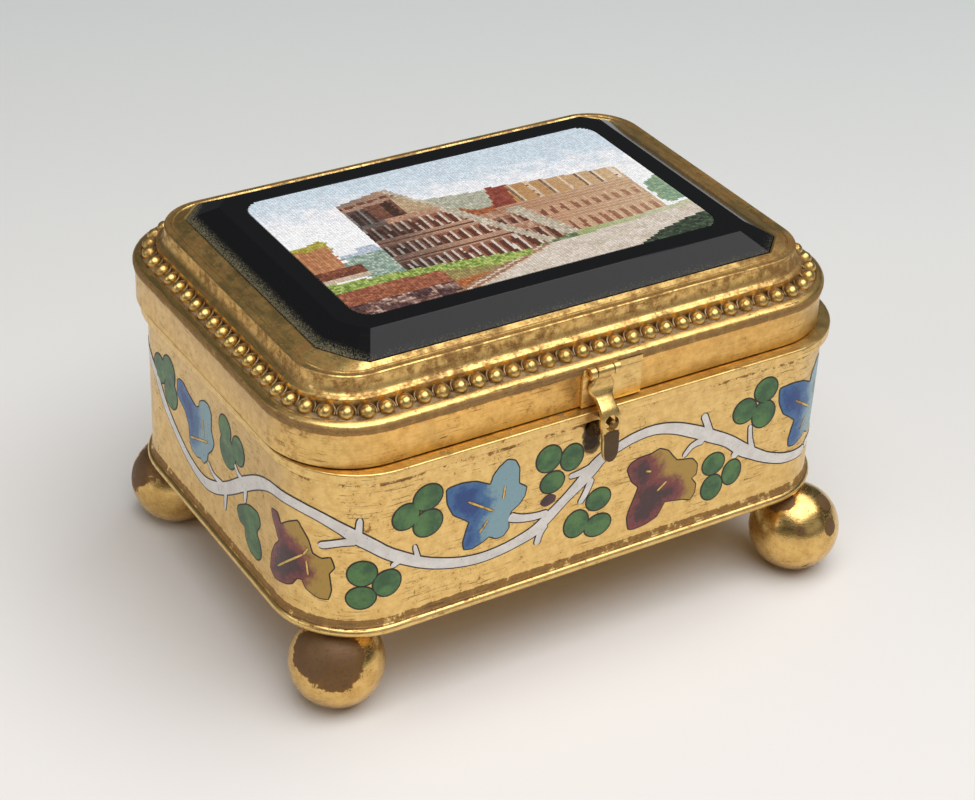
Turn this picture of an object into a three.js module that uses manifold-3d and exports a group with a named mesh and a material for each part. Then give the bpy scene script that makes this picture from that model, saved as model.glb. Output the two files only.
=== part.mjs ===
// A small gilt-metal trinket box on four ball feet. Its hinged lid holds a black stone plaque
// with a micromosaic picture, inside a stepped frame with a border of pearl beads.
// Millimetres, +Z up. The long side with the hasp faces -Y.

import * as THREE from 'three';
import { mergeVertices } from 'three/addons/utils/BufferGeometryUtils.js';
import Module from 'manifold-3d';

// Tub: a rounded rectangle of sheet metal
const TUB_LENGTH = 88;
const TUB_DEPTH = 61.8;
const TUB_CORNER_R = 11.8;
const TUB_WALL = 1.4;
const TUB_FLOOR = 1.5;
const TUB_TOP_Z = 40.4;
const MOUTH_BEVEL = 0.2;

// Foot lip and the hollow moulding above it
const LIP_OUT = 0.8;
const LIP_THICK = 1.4;
const CAVETTO_HEIGHT = 2.4;

// Collar around the mouth of the tub
const COLLAR_OUT = 1;
const COLLAR_HEIGHT = 1.5;
const COLLAR_EDGE = 0.35;

// Ball feet, soldered on by hand, each a little off its place
const FOOT_DIAMETER = 13.64;
const FOOT_FLAT_R = 1.5;
const FOOT_SEAT_R = 0.8;
const FOOT_NECK_R = 1.8;
const FOOT_NECK_SHIFT = 1.2;
const FOOT_INSET_X = 5.6;
const FOOT_INSET_Y = 5.2;
const FEET = [
  { name: 'foot_front_left', side: [-1, -1], shift: [0.4, 0.35] },
  { name: 'foot_front_right', side: [1, -1], shift: [-0.1, -3.8] },
  { name: 'foot_back_left', side: [-1, 1], shift: [-0.3, -0.3] },
  { name: 'foot_back_right', side: [1, 1], shift: [0, 0] },
];

// Lid: it sits a little back and to the left of the tub
const LID_LENGTH = 89.4;
const LID_DEPTH = 63.1;
const LID_CORNER_R = 12.5;
const LID_SHIFT_X = -0.8;
const LID_SHIFT_Y = 1.1;
const LID_GAP = 0.15;
const LID_WALL = 1.2;
const SKIRT_HEIGHT = 5.1;
const RIM_OUT = 0.3;
const RIM_HEIGHT = 1.8;
const RIM_WIDTH = 1.25;

// Channel with the border of beads
const BEAD_DIAMETER = 2;
const BEAD_PITCH = 2.75;
const BEAD_CLEARANCE = 0.1;
const BEAD_SINK = 0.4;
const STRIP_THICK = 0.4;
const CHANNEL_DEPTH = 0.6;
const BACK_WALL_HEIGHT = 2.6;

// Moulding that rises from the channel to the frame around the plaque
const COVE_RUN = 0.9;
const COVE_RISE = 2.3;
const FRAME_EDGE = 0.3;
const FRAME_SLOPE_RISE = 0.45;
const FRAME_THICK = 0.9;

// Plaque of black stone, bevelled on four sides, with cut corners
const PLAQUE_LENGTH = 72.8;
const PLAQUE_DEPTH = 49.4;
const PLAQUE_THICK = 4.1;
const PLAQUE_BEVEL_RUN = 3.95;
const PLAQUE_BEVEL_DROP = 2.2;
const PLAQUE_CUT_TOP = 2;
const PLAQUE_CUT_FOOT = 3.6;
const PLAQUE_CLEARANCE = 0.1;
const SEAT_GAP = 0.02;

// Mosaic panel let into the top of the plaque
const MOSAIC_LENGTH = 58.8;
const MOSAIC_DEPTH = 35.4;
const MOSAIC_CORNER_R = 3;
const MOSAIC_THICK = 1.2;
const MOSAIC_CLEARANCE = 0.06;

// Hinge behind the box
const HINGE_WIDTH = 24;
const KNUCKLE_R = 1.3;
const KNUCKLE_GAP = 0.3;
const HINGE_CLEARANCE = 0.25;
const HINGE_PIN_R = 0.6;
const PIN_CLEARANCE = 0.05;
const LEAF_THICK = 0.6;
const LEAF_HEIGHT = 4.2;
const LEAF_CLEARANCE = 0.3;

// Hasp at the front, hung from a pin on the lid and sprung over a stud on the tub
const HASP_X = -1;
const HASP_PLATE_WIDTH = 10;
const HASP_PLATE_THICK = 0.5;
const HASP_BARREL_R = 0.85;
const HASP_BARREL_WIDTH = 2.6;
const HASP_LUG_WIDTH = 1;
const HASP_SIDE_GAP = 0.1;
const HASP_PIN_R = 0.4;
const HASP_THICK = 0.9;
const HASP_PLATE_GAP = 0.1;
const HASP_HOLE_R = 1.1;
const HASP_BOW = 3.85;
const HASP_SHOULDER = 2;
const HASP_NECK = 1.4;
const HASP_EYE = 1.65;
const TAB_LENGTH = 6;
const TAB_HALF = 1.35;
const TAB_FLARE = 0.4;
const STUD_NECK_R = 0.55;
const STUD_HEAD_R = 0.75;
const STUD_REACH = 3.2;
const STUD_HEAD_THICK = 0.6;

// Fineness of round forms
const CORNER_STEPS = 6;
const ROUND_STEPS = 16;
const BALL_STEPS = 12;

// Heights and places that follow from the sizes above
const FOOT_R = FOOT_DIAMETER / 2;
const FOOT_CENTRE_Z = Math.sqrt(FOOT_R * FOOT_R - FOOT_FLAT_R * FOOT_FLAT_R);
const FOOT_TOP_Z = FOOT_CENTRE_Z + Math.sqrt(FOOT_R * FOOT_R - FOOT_SEAT_R * FOOT_SEAT_R);
const BASE_Z = FOOT_TOP_Z + SEAT_GAP;
const LIP_TOP_Z = BASE_Z + LIP_THICK;
const COLLAR_Z = TUB_TOP_Z - COLLAR_HEIGHT;
const LID_BOTTOM_Z = TUB_TOP_Z + LID_GAP;
const RIM_Z = LID_BOTTOM_Z + SKIRT_HEIGHT;
const RIM_TOP_Z = RIM_Z + RIM_HEIGHT;
const CHANNEL_Z = RIM_TOP_Z - CHANNEL_DEPTH;
const CHANNEL_WIDTH = BEAD_DIAMETER + 2 * BEAD_CLEARANCE;
const COVE_Z = CHANNEL_Z + BACK_WALL_HEIGHT;
const FRAME_EDGE_Z = COVE_Z + COVE_RISE;
const FRAME_TOP_Z = FRAME_EDGE_Z + FRAME_EDGE + FRAME_SLOPE_RISE;
const PLAQUE_FOOT_Z = FRAME_TOP_Z;
const PLAQUE_TOP_Z = PLAQUE_FOOT_Z + PLAQUE_BEVEL_DROP;
const POCKET_Z = PLAQUE_TOP_Z - PLAQUE_THICK - SEAT_GAP;
const HALF_L = TUB_LENGTH / 2;
const HALF_D = TUB_DEPTH / 2;
const LID_HALF_L = LID_LENGTH / 2;
const LID_HALF_D = LID_DEPTH / 2;
const COLLAR_HALF_D = HALF_D + COLLAR_OUT;
const SKIRT_FRONT_Y = RIM_OUT - LID_HALF_D;
const HINGE_Y = Math.max(COLLAR_HALF_D, LID_HALF_D + LID_SHIFT_Y) + HINGE_CLEARANCE + KNUCKLE_R;
const HINGE_Z = TUB_TOP_Z + LID_GAP / 2;
const STUD_Z = TUB_TOP_Z - COLLAR_HEIGHT / 2;
const HASP_PIN_Z = RIM_Z + HASP_BARREL_R;
const HASP_PIN_Y = SKIRT_FRONT_Y - HASP_PLATE_THICK - HASP_PLATE_GAP - HASP_BARREL_R;

const wasm = await Module();
wasm.setup();

// A rounded rectangle at height z, counter-clockwise, with the same count of points for any size
function roundRing(halfX, halfY, radius, z) {
  const r = Math.max(0.05, Math.min(radius, halfX - 0.1, halfY - 0.1));
  const points = [];
  for (let corner = 0; corner < 4; corner += 1) {
    const cx = (corner === 0 || corner === 3 ? 1 : -1) * (halfX - r);
    const cy = (corner < 2 ? 1 : -1) * (halfY - r);
    for (let i = 0; i <= CORNER_STEPS; i += 1) {
      const t = ((corner + i / CORNER_STEPS) * Math.PI) / 2;
      points.push(new THREE.Vector3(cx + r * Math.cos(t), cy + r * Math.sin(t), z));
    }
  }
  return points;
}

// A rectangle with straight cut corners, with the same count of points as a rounded one
function cutRing(halfX, halfY, cut, z) {
  const points = [];
  for (let corner = 0; corner < 4; corner += 1) {
    const sx = corner === 0 || corner === 3 ? 1 : -1;
    const sy = corner < 2 ? 1 : -1;
    for (let i = 0; i <= CORNER_STEPS; i += 1) {
      const along = sx * sy > 0 ? i / CORNER_STEPS : 1 - i / CORNER_STEPS;
      const x = sx * (halfX - cut * along);
      const y = sy * (halfY - cut * (1 - along));
      points.push(new THREE.Vector3(x, y, z));
    }
  }
  return points;
}

// Skins a run of rings. The ends are capped, or the last ring joins the first.
function loft(rings, joined = false) {
  const count = rings[0].length;
  const vertices = rings.flat().flatMap((p) => [p.x, p.y, p.z]);
  const faces = [];
  const bands = joined ? rings.length : rings.length - 1;
  for (let k = 0; k < bands; k += 1) {
    const low = k * count;
    const high = ((k + 1) % rings.length) * count;
    for (let i = 0; i < count; i += 1) {
      const j = (i + 1) % count;
      faces.push(low + i, low + j, high + j, low + i, high + j, high + i);
    }
  }
  if (!joined) {
    addCap(vertices, faces, rings[0], 0, true);
    addCap(vertices, faces, rings.at(-1), (rings.length - 1) * count, false);
  }
  const geometry = new THREE.BufferGeometry();
  geometry.setAttribute('position', new THREE.Float32BufferAttribute(vertices, 3));
  geometry.setIndex(faces);
  return geometry;
}

function addCap(vertices, faces, ring, first, down) {
  const centre = new THREE.Vector3();
  ring.forEach((p) => centre.add(p));
  centre.divideScalar(ring.length);
  const hub = vertices.length / 3;
  vertices.push(centre.x, centre.y, centre.z);
  for (let i = 0; i < ring.length; i += 1) {
    const j = (i + 1) % ring.length;
    if (down) faces.push(hub, first + j, first + i);
    else faces.push(hub, first + i, first + j);
  }
}

function toSolid(geometry) {
  const bare = geometry.clone();
  bare.deleteAttribute('normal');
  bare.deleteAttribute('uv');
  const merged = mergeVertices(bare, 1e-5);
  const vertProperties = new Float32Array(merged.attributes.position.array);
  const triVerts = new Uint32Array(merged.index.array);
  return new wasm.Manifold(new wasm.Mesh({ numProp: 3, vertProperties, triVerts }));
}

function toGeometry(solid) {
  const mesh = solid.getMesh();
  const geometry = new THREE.BufferGeometry();
  geometry.setAttribute('position', new THREE.BufferAttribute(new Float32Array(mesh.vertProperties), 3));
  geometry.setIndex(new THREE.BufferAttribute(new Uint32Array(mesh.triVerts), 1));
  return geometry;
}

function join(geometries) {
  return toGeometry(geometries.map(toSolid).reduce((whole, next) => whole.add(next)));
}

function cut(geometry, tools) {
  return toGeometry(tools.map(toSolid).reduce((rest, tool) => rest.subtract(tool), toSolid(geometry)));
}

// Round bar along X
function barX(radius, fromX, toX, y, z, steps = ROUND_STEPS) {
  const bar = new THREE.CylinderGeometry(radius, radius, toX - fromX, steps);
  bar.rotateZ(Math.PI / 2);
  bar.translate((fromX + toX) / 2, y, z);
  return bar;
}

// Round bar along Y
function barY(radius, fromY, toY, x, z, steps = ROUND_STEPS) {
  const bar = new THREE.CylinderGeometry(radius, radius, toY - fromY, steps);
  bar.translate(x, (fromY + toY) / 2, z);
  return bar;
}

function block(fromX, toX, fromY, toY, fromZ, toZ) {
  const box = new THREE.BoxGeometry(toX - fromX, toY - fromY, toZ - fromZ);
  box.translate((fromX + toX) / 2, (fromY + toY) / 2, (fromZ + toZ) / 2);
  return box;
}

// The tub's own outline, pushed out or in by an offset
function tubRing(out, z) {
  return roundRing(HALF_L + out, HALF_D + out, TUB_CORNER_R + out, z);
}

// The lid's outline at its rim, drawn in by an inset
function lidRing(inset, z) {
  return roundRing(LID_HALF_L - inset, LID_HALF_D - inset, LID_CORNER_R - inset, z);
}

function tubGeometry() {
  const lipRound = LIP_THICK / 4;
  const rings = [
    tubRing(LIP_OUT - lipRound, BASE_Z),
    tubRing(LIP_OUT, BASE_Z + lipRound),
    tubRing(LIP_OUT, LIP_TOP_Z - lipRound),
    tubRing(LIP_OUT - lipRound, LIP_TOP_Z),
  ];
  const coveRun = LIP_OUT - lipRound;
  const coveSteps = 3;
  for (let i = 1; i <= coveSteps; i += 1) {
    const t = ((i / coveSteps) * Math.PI) / 2;
    rings.push(tubRing(coveRun * (1 - Math.sin(t)), LIP_TOP_Z + CAVETTO_HEIGHT * (1 - Math.cos(t))));
  }
  rings.push(
    tubRing(0, COLLAR_Z - COLLAR_EDGE),
    tubRing(COLLAR_OUT, COLLAR_Z + COLLAR_EDGE / 2),
    tubRing(COLLAR_OUT, TUB_TOP_Z - COLLAR_EDGE / 2),
    tubRing(COLLAR_OUT - COLLAR_EDGE, TUB_TOP_Z),
    tubRing(MOUTH_BEVEL - TUB_WALL, TUB_TOP_Z),
    tubRing(-TUB_WALL, TUB_TOP_Z - MOUTH_BEVEL),
    tubRing(-TUB_WALL, BASE_Z + TUB_FLOOR),
  );
  return loft(rings);
}

// A ball with a worn flat below, and a short neck set off towards the middle of the box
function footGeometry(side) {
  const low = -Math.acos(FOOT_FLAT_R / FOOT_R);
  const high = Math.acos(FOOT_SEAT_R / FOOT_R);
  const profile = [new THREE.Vector2(0, 0)];
  for (let i = 0; i <= BALL_STEPS; i += 1) {
    const t = low + ((high - low) * i) / BALL_STEPS;
    profile.push(new THREE.Vector2(FOOT_R * Math.cos(t), FOOT_CENTRE_Z + FOOT_R * Math.sin(t)));
  }
  profile[1].y = 0;
  profile.push(new THREE.Vector2(0, FOOT_TOP_Z));
  profile.at(-2).y = FOOT_TOP_Z;
  const ball = new THREE.LatheGeometry(profile, ROUND_STEPS);
  ball.rotateX(Math.PI / 2);
  const neck = new THREE.CylinderGeometry(FOOT_NECK_R, FOOT_NECK_R, FOOT_NECK_R, ROUND_STEPS);
  neck.rotateX(Math.PI / 2);
  neck.translate(-side[0] * FOOT_NECK_SHIFT, -side[1] * FOOT_NECK_SHIFT, FOOT_TOP_Z - FOOT_NECK_R / 2);
  return join([ball, neck]);
}

function lidFrameGeometry() {
  const openL = PLAQUE_LENGTH / 2 + PLAQUE_CLEARANCE;
  const openD = PLAQUE_DEPTH / 2 + PLAQUE_CLEARANCE;
  const channelIn = RIM_WIDTH + CHANNEL_WIDTH;
  const coveIn = channelIn + COVE_RUN + FRAME_EDGE;
  const rimRound = RIM_WIDTH / 3;
  const inner = RIM_OUT + LID_WALL;
  const ceilingIn = coveIn + FRAME_THICK;
  const rings = [
    lidRing(ceilingIn, POCKET_Z - FRAME_THICK),
    lidRing(ceilingIn, COVE_Z - FRAME_THICK),
    lidRing(channelIn + FRAME_THICK, CHANNEL_Z - FRAME_THICK),
    lidRing(inner + FRAME_THICK, CHANNEL_Z - FRAME_THICK),
    lidRing(inner, RIM_Z - RIM_OUT),
    lidRing(inner, LID_BOTTOM_Z),
    lidRing(RIM_OUT, LID_BOTTOM_Z),
    lidRing(RIM_OUT, RIM_Z),
    lidRing(0, RIM_Z + RIM_OUT),
    lidRing(0, RIM_TOP_Z - rimRound - RIM_OUT),
    lidRing(rimRound, RIM_TOP_Z - RIM_OUT / 2),
    lidRing(RIM_WIDTH - rimRound / 2, RIM_TOP_Z),
    lidRing(RIM_WIDTH, RIM_TOP_Z - RIM_OUT / 2),
    lidRing(RIM_WIDTH, CHANNEL_Z),
    lidRing(channelIn, CHANNEL_Z),
    lidRing(channelIn, COVE_Z - FRAME_EDGE),
    lidRing(channelIn + FRAME_EDGE, COVE_Z),
  ];
  const coveSteps = 4;
  for (let i = 1; i <= coveSteps; i += 1) {
    const t = ((i / coveSteps) * Math.PI) / 2;
    const inset = channelIn + FRAME_EDGE + COVE_RUN * Math.sin(t);
    rings.push(lidRing(inset, COVE_Z + COVE_RISE * (1 - Math.cos(t))));
  }
  rings.push(
    lidRing(coveIn + FRAME_EDGE, FRAME_EDGE_Z + FRAME_EDGE),
    cutRing(openL, openD, PLAQUE_CUT_FOOT, FRAME_TOP_Z - PLAQUE_CLEARANCE),
    cutRing(openL, openD, PLAQUE_CUT_FOOT, POCKET_Z),
  );
  return loft(rings);
}

function plaqueGeometry() {
  const half = [PLAQUE_LENGTH / 2, PLAQUE_DEPTH / 2];
  const top = half.map((h) => h - PLAQUE_BEVEL_RUN);
  const pocketL = MOSAIC_LENGTH / 2 + MOSAIC_CLEARANCE;
  const pocketD = MOSAIC_DEPTH / 2 + MOSAIC_CLEARANCE;
  const pocketR = MOSAIC_CORNER_R + MOSAIC_CLEARANCE;
  const pocketZ = PLAQUE_TOP_Z - MOSAIC_THICK - SEAT_GAP;
  return loft([
    cutRing(half[0], half[1], PLAQUE_CUT_FOOT, PLAQUE_TOP_Z - PLAQUE_THICK),
    cutRing(half[0], half[1], PLAQUE_CUT_FOOT, PLAQUE_FOOT_Z),
    cutRing(top[0], top[1], PLAQUE_CUT_TOP, PLAQUE_TOP_Z),
    roundRing(pocketL, pocketD, pocketR, PLAQUE_TOP_Z),
    roundRing(pocketL, pocketD, pocketR, pocketZ),
  ]);
}

function mosaicGeometry() {
  const halfL = MOSAIC_LENGTH / 2;
  const halfD = MOSAIC_DEPTH / 2;
  return loft([
    roundRing(halfL, halfD, MOSAIC_CORNER_R, PLAQUE_TOP_Z - MOSAIC_THICK),
    roundRing(halfL, halfD, MOSAIC_CORNER_R, PLAQUE_TOP_Z),
  ]);
}

// The point at a distance along a rounded rectangle, from the middle of its right side
function alongOutline(halfX, halfY, radius, distance) {
  const straightX = 2 * (halfX - radius);
  const straightY = 2 * (halfY - radius);
  const arc = (Math.PI / 2) * radius;
  let rest = distance + straightY / 2;
  for (let side = 0; side < 4; side += 1) {
    const straight = side % 2 === 0 ? straightY : straightX;
    const turn = (side * Math.PI) / 2;
    const reach = side % 2 === 0 ? halfX : halfY;
    if (rest <= straight) {
      return new THREE.Vector2(reach, rest - straight / 2).rotateAround(new THREE.Vector2(), turn);
    }
    rest -= straight;
    if (rest <= arc) {
      const t = rest / radius;
      const corner = new THREE.Vector2(reach - radius, straight / 2);
      corner.add(new THREE.Vector2(radius * Math.cos(t), radius * Math.sin(t)));
      return corner.rotateAround(new THREE.Vector2(), turn);
    }
    rest -= arc;
  }
  return alongOutline(halfX, halfY, radius, rest - straightY / 2);
}

// A thin strip that lies in the channel, with round beads standing on it
function beadBorderGeometry() {
  const from = RIM_WIDTH + BEAD_CLEARANCE;
  const to = RIM_WIDTH + CHANNEL_WIDTH - BEAD_CLEARANCE;
  const low = CHANNEL_Z + SEAT_GAP;
  const high = low + STRIP_THICK;
  const strip = loft([lidRing(from, low), lidRing(from, high), lidRing(to, high), lidRing(to, low)], true);
  const inset = (from + to) / 2;
  const halfX = LID_HALF_L - inset;
  const halfY = LID_HALF_D - inset;
  const radius = LID_CORNER_R - inset;
  const around = 4 * (halfX + halfY - 2 * radius) + 2 * Math.PI * radius;
  const count = Math.round(around / BEAD_PITCH);
  const pieces = [toSolid(strip)];
  for (let i = 0; i < count; i += 1) {
    const place = alongOutline(halfX, halfY, radius, (i * around) / count);
    const bead = new THREE.SphereGeometry(BEAD_DIAMETER / 2, 6, 4);
    bead.rotateX(Math.PI / 2);
    bead.translate(place.x, place.y, high + BEAD_DIAMETER / 2 - BEAD_SINK);
    pieces.push(toSolid(bead));
  }
  return toGeometry(wasm.Manifold.union(pieces));
}

// Plate on the tub's back wall with the two outer knuckles
function tubHingeGeometry() {
  const half = HINGE_WIDTH / 2;
  const third = HINGE_WIDTH / 6;
  const wallY = HALF_D + SEAT_GAP;
  const faceY = COLLAR_HALF_D + SEAT_GAP;
  const topZ = TUB_TOP_Z - COLLAR_EDGE / 2;
  const lowZ = topZ - LEAF_HEIGHT;
  const underZ = COLLAR_Z - COLLAR_EDGE - SEAT_GAP;
  const pieces = [
    block(-half, half, faceY, faceY + LEAF_THICK, lowZ, topZ),
    block(-half, half, wallY, faceY + LEAF_THICK, lowZ, underZ),
  ];
  for (const side of [-1, 1]) {
    const near = side * (third + KNUCKLE_GAP / 2);
    const far = side * half;
    const fromX = Math.min(near, far);
    const toX = Math.max(near, far);
    pieces.push(barX(KNUCKLE_R, fromX, toX, HINGE_Y, HINGE_Z));
    pieces.push(block(fromX, toX, faceY, HINGE_Y, topZ - KNUCKLE_R, topZ));
  }
  const bore = barX(HINGE_PIN_R + PIN_CLEARANCE, -HINGE_WIDTH, HINGE_WIDTH, HINGE_Y, HINGE_Z);
  return cut(join(pieces), [bore]);
}

// Plate on the lid's back skirt with the middle knuckle, in the lid's own place
function lidHingeGeometry() {
  const half = HINGE_WIDTH / 2;
  const knuckle = HINGE_WIDTH / 6 - KNUCKLE_GAP / 2;
  const skirtY = LID_HALF_D - RIM_OUT + SEAT_GAP;
  const axisY = HINGE_Y - LID_SHIFT_Y;
  const clearZ = HINGE_Z + KNUCKLE_R + LEAF_CLEARANCE;
  const topZ = RIM_Z - SEAT_GAP;
  const pieces = [
    block(-half, half, skirtY, skirtY + LEAF_THICK, clearZ, topZ),
    block(-knuckle, knuckle, skirtY, skirtY + LEAF_THICK, LID_BOTTOM_Z, topZ),
    block(-knuckle, knuckle, skirtY, axisY, LID_BOTTOM_Z, HINGE_Z + KNUCKLE_R),
    barX(KNUCKLE_R, -knuckle, knuckle, axisY, HINGE_Z),
  ];
  const bore = barX(HINGE_PIN_R + PIN_CLEARANCE, -HINGE_WIDTH, HINGE_WIDTH, axisY, HINGE_Z);
  return cut(join(pieces), [bore]);
}

// Stud on the collar: a thin neck with a round head
function studGeometry() {
  const rootY = -COLLAR_HALF_D - SEAT_GAP;
  const tipY = rootY - STUD_REACH;
  const headY = tipY + STUD_HEAD_THICK;
  return join([
    barY(STUD_NECK_R, headY - STUD_HEAD_THICK / 2, rootY, 0, 0, 12),
    barY(STUD_HEAD_R, tipY, headY, 0, 0, 12),
  ]);
}

// Hole for the pin through the lugs and the strap's barrel
function haspBore() {
  return barX(HASP_PIN_R + PIN_CLEARANCE, -HASP_PLATE_WIDTH, HASP_PLATE_WIDTH, HASP_PIN_Y, HASP_PIN_Z, 12);
}

// Plate on the front of the lid with two lugs
function haspPlateGeometry() {
  const backY = SKIRT_FRONT_Y - SEAT_GAP;
  const frontY = SKIRT_FRONT_Y - HASP_PLATE_THICK;
  const halfWidth = HASP_PLATE_WIDTH / 2;
  const pieces = [
    block(-halfWidth, halfWidth, frontY, backY, LID_BOTTOM_Z + SEAT_GAP, RIM_Z - SEAT_GAP),
    block(-halfWidth, halfWidth, frontY, -LID_HALF_D - SEAT_GAP, RIM_Z - RIM_OUT, RIM_Z + RIM_HEIGHT / 2),
  ];
  const near = HASP_BARREL_WIDTH / 2 + HASP_SIDE_GAP;
  for (const side of [-1, 1]) {
    const edges = [side * near, side * (near + HASP_LUG_WIDTH)].sort((a, b) => a - b);
    pieces.push(barX(HASP_BARREL_R, edges[0], edges[1], HASP_PIN_Y, HASP_PIN_Z, 12));
    pieces.push(block(edges[0], edges[1], HASP_PIN_Y, frontY, HASP_PIN_Z - HASP_BARREL_R, HASP_PIN_Z));
  }
  return cut(join(pieces), [haspBore()]);
}

// The strap's stations from the barrel down: height below the pin, stand-off of its middle
// from the skirt's face, and half width. It bows out over the stud and ends in a free thumb tab.
function haspStations() {
  const pinOut = SKIRT_FRONT_Y - HASP_PIN_Y;
  const flatOut = HASP_PLATE_THICK + HASP_PLATE_GAP + HASP_THICK / 2;
  const barrelHalf = HASP_BARREL_WIDTH / 2;
  const studDrop = HASP_PIN_Z - STUD_Z;
  const strap = [
    [0, pinOut, barrelHalf],
    [0.16, (pinOut + flatOut) / 2, barrelHalf],
    [0.32, flatOut, HASP_SHOULDER * 0.95],
    [0.45, flatOut * 1.1, HASP_SHOULDER],
    [0.57, flatOut * 1.6, HASP_NECK * 1.07],
    [0.7, HASP_BOW * 0.69, HASP_NECK],
    [0.82, HASP_BOW * 0.9, HASP_NECK * 1.07],
    [1, HASP_BOW, HASP_EYE],
  ].map(([down, out, half]) => [down * studDrop, out, half]);
  const tab = [
    [0.22, 0.4, HASP_EYE * 0.9],
    [0.43, 0.65, TAB_HALF],
    [0.65, 0.85, TAB_HALF],
    [0.83, 1, TAB_HALF * 0.9],
    [0.95, 1, TAB_HALF * 0.63],
    [1, 1, TAB_HALF * 0.3],
  ].map(([down, flare, half]) => [studDrop + down * TAB_LENGTH, HASP_BOW + flare * TAB_FLARE, half]);
  return [...strap, ...tab];
}

// A leaf-ended strap with a barrel around the pin and a hole over the stud
function haspGeometry() {
  const stations = haspStations();
  const rings = stations.map(([drop, out, half], i) => {
    const before = stations[Math.max(0, i - 1)];
    const after = stations[Math.min(stations.length - 1, i + 1)];
    const run = new THREE.Vector2(before[1] - after[1], before[0] - after[0]).normalize();
    const acrossY = (-run.y * HASP_THICK) / 2;
    const acrossZ = (run.x * HASP_THICK) / 2;
    const y = SKIRT_FRONT_Y - out;
    const z = HASP_PIN_Z - drop;
    const edge = Math.min(HASP_THICK / 4, half / 2);
    return [
      [-half, 0],
      [-half + edge, -1],
      [half - edge, -1],
      [half, 0],
      [half - edge, 1],
      [-half + edge, 1],
    ].map(([x, side]) => new THREE.Vector3(x, y + side * acrossY, z + side * acrossZ));
  });
  const strap = loft(rings.reverse());
  const barrelHalf = HASP_BARREL_WIDTH / 2;
  const barrel = barX(HASP_BARREL_R, -barrelHalf, barrelHalf, HASP_PIN_Y, HASP_PIN_Z, 12);
  const hole = barY(HASP_HOLE_R, SKIRT_FRONT_Y - 2 * HASP_BOW, SKIRT_FRONT_Y, 0, STUD_Z, 14);
  return cut(join([strap, barrel]), [haspBore(), hole]);
}

const GILT = { color: 0xc9a04e, roughness: 0.38, metalness: 1 };
const WORN_GILT = { color: 0x8a6a3c, roughness: 0.5, metalness: 1 };
const BLACK_STONE = { color: 0x0b0b0d, roughness: 0.12, metalness: 0 };
const TESSERAE = { color: 0xb9a893, roughness: 0.5, metalness: 0 };

function piece(name, geometry, finish, x = 0, y = 0, z = 0) {
  const mesh = new THREE.Mesh(geometry, new THREE.MeshStandardMaterial(finish));
  mesh.name = name;
  mesh.position.set(x, y, z);
  return mesh;
}

function tubGroup() {
  const group = new THREE.Group();
  group.add(piece('tub', tubGeometry(), GILT));
  for (const foot of FEET) {
    const x = foot.side[0] * (HALF_L - FOOT_INSET_X) + foot.shift[0];
    const y = foot.side[1] * (HALF_D - FOOT_INSET_Y) + foot.shift[1];
    group.add(piece(foot.name, footGeometry(foot.side), GILT, x, y));
  }
  group.add(piece('catch_stud', studGeometry(), WORN_GILT, HASP_X, 0, STUD_Z));
  group.add(piece('hinge_leaf_tub', tubHingeGeometry(), GILT));
  const pinHalf = HINGE_WIDTH / 2;
  group.add(piece('hinge_pin', barX(HINGE_PIN_R, -pinHalf, pinHalf, HINGE_Y, HINGE_Z), WORN_GILT));
  return group;
}

function lidGroup() {
  const group = new THREE.Group();
  const haspX = HASP_X - LID_SHIFT_X;
  const pinHalf = HASP_BARREL_WIDTH / 2 + HASP_SIDE_GAP + HASP_LUG_WIDTH;
  const pin = barX(HASP_PIN_R, -pinHalf, pinHalf, HASP_PIN_Y, HASP_PIN_Z, 12);
  group.position.set(LID_SHIFT_X, LID_SHIFT_Y, 0);
  group.add(piece('lid_frame', lidFrameGeometry(), GILT));
  group.add(piece('bead_border', beadBorderGeometry(), GILT));
  group.add(piece('plaque', plaqueGeometry(), BLACK_STONE));
  group.add(piece('mosaic_panel', mosaicGeometry(), TESSERAE));
  group.add(piece('hinge_leaf_lid', lidHingeGeometry(), GILT, -LID_SHIFT_X));
  group.add(piece('hasp_plate', haspPlateGeometry(), GILT, haspX));
  group.add(piece('hasp_pin', pin, WORN_GILT, haspX));
  group.add(piece('hasp', haspGeometry(), WORN_GILT, haspX));
  return group;
}

// The whole box, with its origin under the middle of its outline, on the surface it stands on
const box = new THREE.Group();
box.add(tubGroup(), lidGroup());
const bounds = new THREE.Box3().setFromObject(box, true);
box.position.set(-(bounds.min.x + bounds.max.x) / 2, -(bounds.min.y + bounds.max.y) / 2, -bounds.min.z);

export default box;
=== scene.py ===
"""A gilt-metal trinket box on ball feet, with enamelled walls and a micromosaic lid.

Lengths are in millimetres in the making functions and become metres in each mesh.
"""

import math
import random

import bmesh
import bpy
from mathutils import Matrix, Vector, noise
from mathutils.geometry import delaunay_2d_cdt


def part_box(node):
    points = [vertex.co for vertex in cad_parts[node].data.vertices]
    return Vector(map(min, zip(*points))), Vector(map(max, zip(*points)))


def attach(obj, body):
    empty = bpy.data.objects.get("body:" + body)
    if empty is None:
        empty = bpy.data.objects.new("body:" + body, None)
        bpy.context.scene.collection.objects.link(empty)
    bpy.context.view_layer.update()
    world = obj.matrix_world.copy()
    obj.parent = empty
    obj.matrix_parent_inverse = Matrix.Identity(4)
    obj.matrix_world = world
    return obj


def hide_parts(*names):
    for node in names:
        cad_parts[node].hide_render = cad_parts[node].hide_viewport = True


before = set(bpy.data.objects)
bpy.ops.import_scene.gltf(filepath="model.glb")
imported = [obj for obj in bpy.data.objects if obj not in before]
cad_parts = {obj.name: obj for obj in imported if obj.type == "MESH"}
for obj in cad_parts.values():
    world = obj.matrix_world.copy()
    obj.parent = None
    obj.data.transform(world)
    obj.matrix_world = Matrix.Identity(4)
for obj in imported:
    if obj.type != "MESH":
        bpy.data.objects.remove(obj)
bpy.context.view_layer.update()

MM = 0.001


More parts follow.
